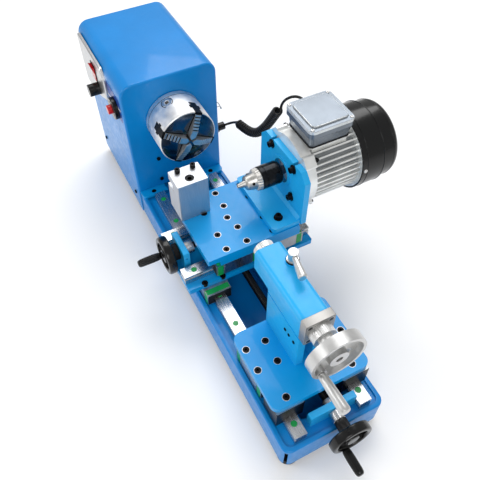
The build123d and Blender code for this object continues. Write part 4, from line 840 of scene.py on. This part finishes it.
def dished_wheel(radius, width, hub, centre, axis):
    """Dished wheel: a thick rounded rim, a thin web and a raised hub, as one turned profile."""
    rim = [(0, 0), (0, radius - 9), (0.4, radius - 3), (2.0, radius), (5, radius),
           (width - 4, radius), (width - 1, radius - 0.6), (width, radius - 3.5),
           (width - 0.2, radius - 7), (width - 2, radius - 8.6), (width * 0.55, radius - 9.2),
           (5.2, radius - 11), (5.0, hub + 3), (6.5, hub + 0.6), (width - 2, hub),
           (width - 0.4, hub - 1), (width - 0.4, 0)]
    return turned(softened(rim), centre, axis, 96)


def fluted_grip(length, radius, centre, axis):
    """Moulded grip: a narrow neck, a swelling body with flutes and a domed end."""
    body = [(0, 0), (0, radius * 0.72), (1.5, radius * 0.8), (3, radius * 0.92),
            (length * 0.35, radius), (length * 0.7, radius * 0.96), (length - 5, radius * 0.93),
            (length - 1.5, radius * 0.8), (length, radius * 0.5), (length, 0)]
    return turned(softened(body), centre, axis, 96, 12, 0.9, (2.5, length - 4))


class LATHE_OT_handwheels(bpy.types.Operator):
    """Black handwheels with their fluted grips"""

    bl_idname = "lathe.handwheels"
    bl_label = "Handwheels"

    def execute(self, context):
        low, high = span("lead_handwheel")
        centre = (low + high) / 2
        back = high[0] - WHEEL_WIDTH
        hub = softened([(0, 0), (0, 9.6), (1, 9.8), (back - low[0] - 1, 9.8),
                        (back - low[0] + 1, 9.8), (back - low[0] + 1, 0)], 1)
        lead = piece("lead_handwheel_moulded", [
            dished_wheel(WHEEL_RADIUS, WHEEL_WIDTH, WHEEL_HUB, (back, centre[1], centre[2]), "+X"),
            turned(hub, (low[0], centre[1], centre[2]), "+X", 96, 24, 0.7,
                   (1, back - low[0] - 1)),
        ], "bakelite_black", "lead_screw")
        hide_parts("lead_handwheel")
        low, high = span("cross_handwheel")
        centre = (low + high) / 2
        back = low[1] + WHEEL_WIDTH
        cross = piece("cross_handwheel_moulded", [
            dished_wheel(WHEEL_RADIUS, WHEEL_WIDTH, WHEEL_HUB, (centre[0], back, centre[2]), "-Y"),
        ], "bakelite_black", "cross_screw")
        collar = high[1]
        ring = [(0, 0), (0, 13), (1, 14), (collar - back - 1, 14), (collar - back + 0.4, 13.4),
                (collar - back + 0.4, 0)]
        piece("cross_collar_knurled", [
            turned(ring, (centre[0], collar, centre[2]), "-Y", 160, 40, 0.5,
                   (0.9, collar - back - 1)),
        ], "black_oxide_screws", "cross_screw", 0.2)
        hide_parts("cross_handwheel")
        for name, node, axis, body, at in (
                ("lead_grip_moulded", "lead_handle", "+X", "lead_grip", 0),
                ("cross_grip_moulded", "cross_handle", "-Y", "cross_grip", 1)):
            low, high = span(node)
            centre = (low + high) / 2
            pin = 14.0
            length = high[at] - low[at] - pin
            centre[at] = low[at] + pin if at == 0 else high[at] - pin
            grip = piece(name, [fluted_grip(length, 7.0, centre, axis)], "bakelite_black",
                         body)
            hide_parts(node)
        return {"FINISHED"}


class LATHE_OT_feed_screws(bpy.types.Operator):
    """Trapezoidal feed screws with their collars"""

    bl_idname = "lathe.feed_screws"
    bl_label = "Feed screws"

    def execute(self, context):
        pitch = context.scene.lathe_sizes.lead_pitch / MM
        low, high = span("lead_screw")
        centre = (low + high) / 2
        start = (0.0, centre[1], centre[2])
        tail_bearing = span("lead_screw_bearings")[1][0]
        lead = piece("lead_screw_thread", [
            threaded(low[0], high[0] - 2, 6.4, pitch, 1.1, start, "+X"),
        ], "black_oxide_thread", "lead_screw", crease=50)
        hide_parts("lead_screw")
        ring = [(0, 0), (0, 9.4), (0.6, 10), (14, 10), (14.6, 9.4), (14.6, 0)]
        piece("lead_screw_collar", [
            turned(ring, (tail_bearing + 0.4, centre[1], centre[2]), "+X", 72),
            turned([(0, 0), (0, 9.9), (8, 9.9), (8, 0)],
                   (tail_bearing - 18.4, centre[1], centre[2]), "+X", 72),
        ], "collar_steel", "lead_screw", 0.2)
        low, high = span("cross_screw")
        centre = (low + high) / 2
        cross = piece("cross_screw_thread", [
            threaded(-high[1], -low[1], 5.9, pitch, 1.0, (centre[0], 0.0, centre[2]), "-Y"),
        ], "black_oxide_thread", "cross_screw", crease=50)
        collar = span("cross_screw_bearing")[1][1] + 0.4
        piece("cross_screw_collar", [
            turned([(0, 0), (0, 11.9), (14, 11.9), (14, 0)],
                   (centre[0], collar + 14, centre[2]), "-Y", 72),
        ], "collar_steel", "cross_screw", 0.4)
        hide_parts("cross_screw")
        return {"FINISHED"}


# ---- driven tool ---------------------------------------------------------------------------------
class LATHE_OT_drill_chuck(bpy.types.Operator):
    """Key-type drill chuck: nose cone, toothed ring and black sleeve"""

    bl_idname = "lathe.drill_chuck"
    bl_label = "Drill chuck"

    def execute(self, context):
        low, high = span("drill_chuck")
        centre = (low + high) / 2
        tip = low[1]
        at = (centre[0], tip, centre[2])
        nose = [(44, 0), (44, 2.2), (0.5, 2.2), (0, 2.6), (0, 3.3), (12.6, 6.0), (12.9, 9.8),
                (14.4, 11.6), (29, 14.8), (30, 15.2), (45, 15.2), (45, 0)]
        cone = piece("drill_nose", [turned(nose, at, "+Y", 96)], "nickel_drill",
                     "drill", 0.15, 25)
        ring = [(28.6, 0), (28.6, 15.6), (30.4, 17.8), (36.2, 18.7), (37.4, 18.0), (37.4, 0)]
        piece("drill_toothed_ring", [turned(ring, at, "+Y", 288, 24, 1.7, (27.6, 34.6))],
              "nickel_drill", "drill", crease=25)
        sleeve = [(37.2, 0), (37.2, 17.4), (38.2, 18.9), (44, 19), (44.4, 18.1), (45.6, 18.1),
                  (46, 19), (66, 19), (66.4, 18.1), (67.6, 18.1), (68, 19), (70, 18.6),
                  (72.4, 17.2), (73, 16), (73, 0)]
        piece("drill_sleeve", [turned(sleeve, at, "+Y", 288, 48, 0.3, (46.5, 65.5))],
              "drill_sleeve_black", "drill", 0.2)
        # Key holes are set round the cone behind the teeth, pointing out from the axis; each is a
        # black disc of painted shade.
        holes = []
        for turn in np.radians((25, 145, 265)):
            out = np.array([np.cos(turn), 0, np.sin(turn)])
            beside = np.array([-np.sin(turn), 0, np.cos(turn)])
            holes.append(turned([(0, 0), (0, 2.4), (0.6, 2.4), (0.6, 0)],
                                np.array(at) + out * 13.2 + np.array([0, 22.4, 0]),
                                (beside, np.cross(out, beside), out), 24))
        piece("drill_key_hole_shade", holes, "black_oxide_screws", "drill")
        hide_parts("drill_chuck")
        return {"FINISHED"}


class LATHE_OT_terminal_trim(bpy.types.Operator):
    """Terminal box: gasket, pale lid panel with painted light on its top, and corner screws"""

    bl_idname = "lathe.terminal_trim"
    bl_label = "Terminal box trim"

    def execute(self, context):
        low, high = span("terminal_box")
        middle = (low + high) / 2
        lid_half_width, lid_middle_y, lid_height = 38.0, 160.0, 17.0
        middle[0], middle[1] = high[0] - lid_half_width, lid_middle_y
        lid_bottom = high[2] - lid_height
        screw_x, screw_y = 32.8, 33.8  # the lid screws' distance from its middle
        # The lid's skirt takes the box's darker finish and its top the paler one: painted shade on
        # the sides and painted light on the top.
        piece("terminal_lid_skirt", [
            prism(rounded(76.2, 78.2, 9), 8.0, (middle[0], middle[1], lid_bottom + 0.4), "+Z"),
        ], "terminal_zinc_painted_shade", "cross_slide", 0.4)
        shells = [
            prism(rounded(76.8, 78.8, 9), 5.8, (middle[0], middle[1], lid_bottom + 8.2), "+Z"),
            prism(rounded(62, 64, 7), 6.8, (middle[0], middle[1], lid_bottom + 10.0), "+Z"),
        ]
        piece("terminal_lid", shells, "terminal_lid_painted_light", "cross_slide", 1.0)
        piece("terminal_gasket", [
            prism(rounded(67, 71, 6), 2.2, (middle[0] - 1, middle[1] + 2, low[2] - 0.1), "+Z"),
            prism(rounded(75, 77, 8.6), 1.0, (middle[0], middle[1], lid_bottom - 0.6), "+Z"),
        ], "rubber_black", "cross_slide", 0.2)
        corners = [np.array([middle[0] + a * screw_x, middle[1] + b * screw_y, lid_bottom + 14.0])
                   for a in (-1, 1) for b in (-1, 1)]
        head = [(-1, 0), (-1, 2.9), (0.6, 2.9), (1.3, 2.2), (1.3, 0)]
        piece("terminal_screws", [turned(head, corner, "+Z", 32) for corner in corners],
              "nickel_tailstock", "cross_slide", 0.1)
        # Each screw has a cross recess, drawn as black bars of painted shade.
        slots = [prism(bar, 0.3, corner + (0, 0, 1.1), "+Z") for corner in corners
                 for bar in (rounded(3.4, 0.7, 0.2), rounded(0.7, 3.4, 0.2))]
        piece("terminal_screw_recess_shade", slots, "black_oxide_screws",
              "cross_slide")
        return {"FINISHED"}


# ---- chuck ---------------------------------------------------------------------------------------
JAW_ANGLES = (62.5, 152.5, 242.5, 332.5)


class LATHE_OT_chuck(bpy.types.Operator):
    """Chuck face, stepped jaws with painted shade at their risers, painted shade in the jaw slots,
    and the key socket's collar
    """

    bl_idname = "lathe.chuck"
    bl_label = "Chuck"

    def execute(self, context):
        back, face = span("chuck_body")[0][0], span("chuck_body")[1][0]
        centre = (face, 0, SPINDLE_HEIGHT)
        # Polished face, with a hole for the work and a broken rim; its dark colour is a painted
        # reflection.
        disc = [(-0.3, 10), (-0.3, 48.2), (0.12, 48.2), (0.3, 47.8), (0.3, 10.6), (0.1, 10)]
        piece("chuck_face_plate", [turned_ring(disc, centre, "+X", 120)], "chuck_face_painted_reflection",
              "spindle", crease=25)
        # Black strips in each jaw's slot across the face and a black tee at the rim: painted shade
        # in the gaps round the jaws.
        slots = []
        for angle in JAW_ANGLES:
            around = outward(angle)
            strip = [(-0.2, -6.9), (0.42, -6.9), (0.42, 6.9), (-0.2, 6.9)]
            slots.append(prism(strip, 37, laid((0, 0, 12.6), centre, around), around))
            tee = [(0.3, -6.4), (0.3, 6.4), (-13.5, 6.4), (-13.5, 9.4), (-20.5, 9.4),
                   (-20.5, 6.4), (-29.5, 6.4), (-29.5, -6.4), (-20.5, -6.4), (-20.5, -9.4),
                   (-13.5, -9.4), (-13.5, -6.4)]
            slots.append(prism(tee, 3.2, laid((0, 0, 46.9), centre, around), around))
        piece("chuck_jaw_slot_shade", slots, "black_oxide_screws", "spindle")
        rise, tread, first = 1.95, 5.0, 0.4  # of the jaws' steps
        jaw_depth, jaw_end, half_jaw = -29, 46, 5.5
        for number, angle in enumerate(JAW_ANGLES, 1):
            around = outward(angle)
            right, up, out = around
            # Six flat steps fall from the pointed tip to the rim, each a slice of the jaw, with a
            # dark strip of painted shade at the foot of each riser.
            steps = [(jaw_depth, first, jaw_end + 2)]
            steps += [(first + rise * k, first + rise * (k + 1), jaw_end - tread * k)
                      for k in range(6)]
            slices, riser_shades = [], []
            for low, high, reach in steps:
                plan = [(3.6, 0.5), (8.6, half_jaw), (reach, half_jaw), (reach, -half_jaw),
                        (8.6, -half_jaw), (3.6, -0.5)]
                slices.append(prism(plan, high - low, laid((low, 0, 0), centre, around),
                                    (out, up, right)))
            for low, high, reach in steps[1:-1]:
                foot = reach - tread
                near, far = foot - 0.1, foot + 1.5
                plan = [(near, 5.3), (far, 5.3), (far, -5.3), (near, -5.3)]
                riser_shades.append(prism(plan, 0.25, laid((high - 0.15, 0, 0), centre, around),
                                     (out, up, right)))
            jaw = piece(f"stepped_jaw_{number}", slices, "jaw_steel_ground",
                        f"jaw_{number}", 0.25)
            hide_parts(f"chuck_jaw_{number}")
            piece(f"jaw_riser_shade_{number}", riser_shades, "black_oxide_screws",
                  f"jaw_{number}")
        low, high = span("chuck_pinion")
        middle = (low + high) / 2
        around = outward(107.5)
        collar = [(-1.4, 4.8), (-1.4, 9.4), (0.3, 9.4), (0.6, 9.0), (0.6, 5.2), (0.2, 4.8)]
        seat = laid((0, 0, 49.4), (middle[0], 0, SPINDLE_HEIGHT), around)
        piece("chuck_key_collar", [turned_ring(collar, seat, around, 64)],
              "brushed_bezel", "spindle", crease=25)
        groove = [(-1, 9.3), (-1, 10.5), (0.35, 10.5), (0.35, 9.3)]
        piece("chuck_key_groove", [turned_ring(groove, seat, around, 64),
                                   prism(rounded(6.4, 6.4, 0.4), 0.3,
                                         laid((0, 0, -7.5), seat, around), around)],
              "black_oxide_screws", "spindle")
        back_ring = [(0.9, 49), (0.9, 50.2), (1.6, 50.2), (1.6, 49)]
        seam = (back + 9, 0, SPINDLE_HEIGHT)
        piece("chuck_back_joint", [turned_ring(back_ring, seam, "+X", 120)],
              "black_oxide_screws", "spindle")
        return {"FINISHED"}


# ---- headstock -----------------------------------------------------------------------------------
class LATHE_OT_headstock(bpy.types.Operator):
    """Label plate, switch collar, gland relief and wire catch on the headstock"""

    bl_idname = "lathe.headstock"
    bl_label = "Headstock trim"

    def execute(self, context):
        side = span("headstock_cover")[0][1]
        label_at = (-180, side + 0.1, 255.5)
        piece("label_plate", [prism(rounded(72, 47, 5), 0.5, label_at, "-Y")],
              "powder_coat_label", "bed", 0.1)
        band = [(-36, -3), (36, 5), (36, 1.5), (-36, -6.5)]
        foot = [(-30, -20), (10, -20), (22, -6), (-30, -11)]
        piece("label_bands", [prism(band, 0.75, label_at, "-Y")], "plastic_white",
              "bed")
        piece("label_panel", [prism(foot, 0.75, label_at, "-Y")], "powder_coat_plate",
              "bed")
        low, high = span("stop_switch_housing")
        middle = (low + high) / 2
        wall = high[1]
        ring = [(0, 12.6), (0, 19.4), (7.4, 19.4), (8.6, 18.2), (8.6, 13.6), (7.8, 12.6)]
        piece("stop_switch_collar", [turned_ring(ring, (middle[0], wall, middle[2]), "-Y", 72)],
              "plastic_black_gloss", "bed", 0.2)
        knob = span("speed_knob")
        at = ((knob[0][0] + knob[1][0]) / 2, knob[0][1] + 0.05, (knob[0][2] + knob[1][2]) / 2)
        piece("knob_pointer", [prism([(-0.6, 2), (0.6, 2), (0.6, 9.6), (-0.6, 9.6)], 0.3, at,
                                     "-Y")], "plastic_white", "knob")
        bezel = span("control_bezel")
        rocker = span("power_rocker")
        frame_at = ((rocker[0][0] + rocker[1][0]) / 2, bezel[0][1] + 0.3,
                    (rocker[0][2] + rocker[1][2]) / 2)
        inner = rounded(21.4, 29.4, 1.0)
        outer = rounded(26, 34, 2.5)
        piece("rocker_frame", [hollow_prism(outer, inner, 1.5, frame_at, "-Y")],
              "plastic_black_gloss", "bed", 0.3)
        gland = span("cable_gland")
        out = gland[1][1]
        middle = (gland[0] + gland[1]) / 2
        ribs = [(0, 0), (0, 7.4)]
        for k in range(4):
            ribs += [(1.0 + 2.2 * k, 7.6 - 0.2 * k), (2.0 + 2.2 * k, 7.6 - 0.2 * k),
                     (2.2 + 2.2 * k, 6.6 - 0.2 * k), (3.0 + 2.2 * k, 6.6 - 0.2 * k)]
        ribs += [(10.2, 5.4), (10.8, 3.4), (10.8, 0)]
        piece("gland_relief", [turned(ribs, (middle[0], out - 10.6, middle[2]), "+Y", 48)],
              "plastic_black_gloss", "bed")
        wall = span("headstock_cover")[1][1]
        bail = softened([(-150, wall - 0.4, 211), (-150, wall + 5, 211), (-149, wall + 9, 206),
                         (-143, wall + 9.5, 197), (-137.5, wall + 8, 206), (-137, wall + 5, 211),
                         (-137, wall - 0.4, 211)], 3)
        piece("wire_catch", [tube_along(bail, 0.9, 10)], "nickel_tailstock", "bed")
        return {"FINISHED"}


# ---- motor ---------------------------------------------------------------------------------------
class LATHE_OT_motor_trim(bpy.types.Operator):
    """Painted shade between the fins, fan cover seams, cover screw and foot nut of the motor"""

    bl_idname = "lathe.motor_trim"
    bl_label = "Motor trim"

    def execute(self, context):
        axis = (TOOL_X, SPINDLE_HEIGHT)
        bell_back = span("motor_bracket")[1][1] + 19.0
        cover = span("fan_cover")
        length = cover[0][1] + 3 - bell_back
        # A dark cylinder just over the fins' roots is painted shade in the gaps between the fins.
        root = [(0, 0), (0, 53.6), (length, 53.6), (length, 0)]
        piece("motor_fin_gap_shade", [turned(root, (axis[0], bell_back - 0.5, axis[1]), "+Y", 120)],
              "fin_gap_painted_shade", "cross_slide")
        seams = []
        for y, radius in ((cover[0][1] + 9, 68.1), (cover[1][1] - 34, 68.1),
                          (cover[1][1] - 13, 64.9)):
            seams.append(turned_ring([(0, radius - 1), (0, radius + 0.1), (0.5, radius + 0.5),
                                      (1.3, radius + 0.5), (1.8, radius + 0.1),
                                      (1.8, radius - 1)], (axis[0], y, axis[1]), "+Y", 144))
        piece("fan_cover_beads", seams, "plastic_black_gloss", "cross_slide",
              crease=60)
        turn = np.radians(4)
        out = np.array([np.cos(turn), 0, np.sin(turn)])
        beside = np.array([-np.sin(turn), 0, np.cos(turn)])
        head = [(0, 0), (0, 3.6), (1.4, 3.4), (2.3, 2.2), (2.6, 0)]
        spot = np.array([axis[0], cover[0][1] + 5.5, axis[1]]) + out * 67.3
        piece("fan_cover_screw", [turned(head, spot, (beside, np.cross(out, beside), out), 32)],
              "nickel_tailstock", "cross_slide", crease=50)
        front = span("motor_bracket")[1][1] - 11.8
        collar = [(0, 20.2), (0, 26.4), (1.6, 26.4), (1.6, 20.2)]
        piece("bracket_bore_collar", [turned_ring(collar, (axis[0], front, axis[1]), "+Y", 96)],
              "powder_coat_housing", "cross_slide", 0.3)
        # A hexagon nut sits on each lug of the bell.
        nuts = []
        for angle in (-45, 45, 135, 225):
            turn = np.radians(angle)
            spot = np.array([axis[0] + 64 * np.cos(turn), bell_back - 0.2,
                             axis[1] + 64 * np.sin(turn)])
            nuts += [prism(polygon(4.6, 6), 3.4, spot, "+Y"),
                     turned([(0, 0), (0, 2.4), (6, 2.4), (6.4, 2), (6.4, 0)], spot, "+Y", 20)]
        piece("motor_tie_nuts", nuts, "black_oxide_screws", "cross_slide", 0.2)
        return {"FINISHED"}


# ---- tailstock -----------------------------------------------------------------------------------
class LATHE_OT_tailstock(bpy.types.Operator):
    """Bare flange with painted shade in its bolt holes, black rail clamps with a painted shadow,
    and lever trim of the tailstock
    """

    bl_idname = "lathe.tailstock"
    bl_label = "Tailstock trim"

    def execute(self, context):
        flange_end = span("tailstock_housing")[1][0]
        start = flange_end - 12.4
        plate = prism(rounded(44.4, 45.0, 1.6, 2), 12.7, (start, 0, SPINDLE_HEIGHT), "+X")
        piece("tail_flange", [plate], "brushed_flange", "tailstock", 0.5)
        # Black discs in the flange's four bolt holes are painted shade in the holes.
        rings, flange_hole_shades = [], []
        for a in (-1, 1):
            for b in (-1, 1):
                at = (start + 12.6, a * 15.5, SPINDLE_HEIGHT + b * 16)
                flange_hole_shades.append(turned([(0, 0), (0, 3.7), (0.35, 3.7), (0.35, 0)], at, "+X", 32))
                rings.append(turned_ring([(0, 3.6), (0, 4.3), (0.25, 4.3), (0.4, 3.6)], at, "+X",
                                         32))
        piece("tail_flange_hole_shade", flange_hole_shades, "black_oxide_screws", "tailstock")
        piece("tail_flange_rims", rings, "nickel_tailstock", "tailstock")
        # Black bars over the rail clamps: partly the blocks' black seals, partly a painted shadow
        # under the base plate.
        bars = []
        top = span("tailstock_base")[0][2] + 15.0
        for side in (-1, 1):
            outline = [(-22.2, 69.0), (-10.4, 69.0), (-10.4, 80.9), (10.4, 80.9), (10.4, 69.0),
                       (22.2, 69.0), (22.2, top), (-22.2, top)]
            bars.append(prism(outline, 36.6, (341.7, side * RAIL_Y, 0), "+X"))
        piece("tail_rail_clamps_and_shadow", bars, "black_oxide_screws", "tailstock", 0.5)
        lever = span("lock_lever")
        pivot = (245.0, 16.0)
        washer = [(0, 0), (0, 9.6), (1.8, 9.6), (2.1, 9.2), (2.1, 0)]
        piece("lever_washer", [turned(washer, (*pivot, 247.6), "+Z", 48)], "black_oxide_screws",
              "lock")
        cap = [(0, 0), (0, 7.3), (1.6, 7.3), (2.4, 6.4), (2.4, 0)]
        piece("lever_cap", [turned(softened(cap, 1), (*pivot, lever[1][2] - 2.5), "+Z", 48)],
              "nickel_tailstock", "lock", crease=50)
        return {"FINISHED"}


def bolt_rims(name, points, body):
    """Thin bright metal rims round the bolts where they are let into a painted plate."""
    section = [(0, 5.2), (0, 6.0), (0.22, 5.9), (0.22, 5.3)]
    piece(name, [turned_ring(section, point, "+Z", 40) for point in points], "nickel_tailstock",
          body)


class LATHE_OT_bolt_rims(bpy.types.Operator):
    """Bright rims round the bolts of the plates"""

    bl_idname = "lathe.bolt_rims"
    bl_label = "Bolt rims"

    def execute(self, context):
        across, along = 16.0, 18.0  # half of the rail blocks' bolt pattern
        low, high = span("tailstock_base")
        block_x, end_bolt_x = 293.4, 363.9
        spots = [(block_x + a * along, side * RAIL_Y + b * across, high[2]) for side in (-1, 1)
                 for a in (-1, 1) for b in (-1, 1)]
        spots += [(end_bolt_x, side * RAIL_Y, high[2]) for side in (-1, 1)]
        bolt_rims("tailstock_bolt_rims", spots, "tailstock")
        low, high = span("cross_table")
        spots = [(x + a * across, y + b * along, high[2]) for x in (28.4, 111.6)
                 for y in (-9.5, 73.0) for a in (-1, 1) for b in (-1, 1)]
        # The tool post and the motor's bracket cover the others.
        shown = [spot for spot in spots if not (spot[0] < 52 and spot[1] < -14) and spot[1] < 50]
        bolt_rims("table_bolt_rims", shown + [(TOOL_X, 2.6, high[2])], "cross_slide")
        return {"FINISHED"}


# ---- panel and run -------------------------------------------------------------------------------
ORDER = (LATHE_OT_finishes, LATHE_OT_stage, LATHE_OT_cord, LATHE_OT_rail_plugs,
         LATHE_OT_block_ends, LATHE_OT_handwheels, LATHE_OT_feed_screws, LATHE_OT_drill_chuck,
         LATHE_OT_terminal_trim, LATHE_OT_chuck, LATHE_OT_headstock, LATHE_OT_motor_trim,
         LATHE_OT_tailstock, LATHE_OT_bolt_rims)


class LATHE_PT_panel(bpy.types.Panel):
    """Lists the machine's parts and their settings"""

    bl_idname = "LATHE_PT_panel"
    bl_label = "Bench lathe"
    bl_space_type = "VIEW_3D"
    bl_region_type = "UI"
    bl_category = "Lathe"

    def draw(self, context):
        for settings in (context.scene.lathe_colours, context.scene.lathe_sizes):
            for key in type(settings).__annotations__:
                self.layout.prop(settings, key)
        for operator in ORDER:
            self.layout.operator(operator.bl_idname)


CLASSES = (LatheColours, LatheSizes, *ORDER, LATHE_PT_panel)


def register():
    """Registers the classes and hangs the settings on the scene."""
    for each in CLASSES:
        bpy.utils.register_class(each)
    bpy.types.Scene.lathe_colours = bpy.props.PointerProperty(type=LatheColours)
    bpy.types.Scene.lathe_sizes = bpy.props.PointerProperty(type=LatheSizes)


def unregister():
    """Takes them away again."""
    del bpy.types.Scene.lathe_sizes
    del bpy.types.Scene.lathe_colours
    for each in reversed(CLASSES):
        bpy.utils.unregister_class(each)


def main():
    """Registers the add-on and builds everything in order."""
    register()
    for operator in ORDER:
        group, name = operator.bl_idname.split(".")
        getattr(getattr(bpy.ops, group), name)()
    boxes = {"cad": CAD_BOX, "visual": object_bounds()}
    plain = {key: [[float(value) for value in corner] for corner in box]
             for key, box in boxes.items()}


if __name__ == "__main__":
    main()
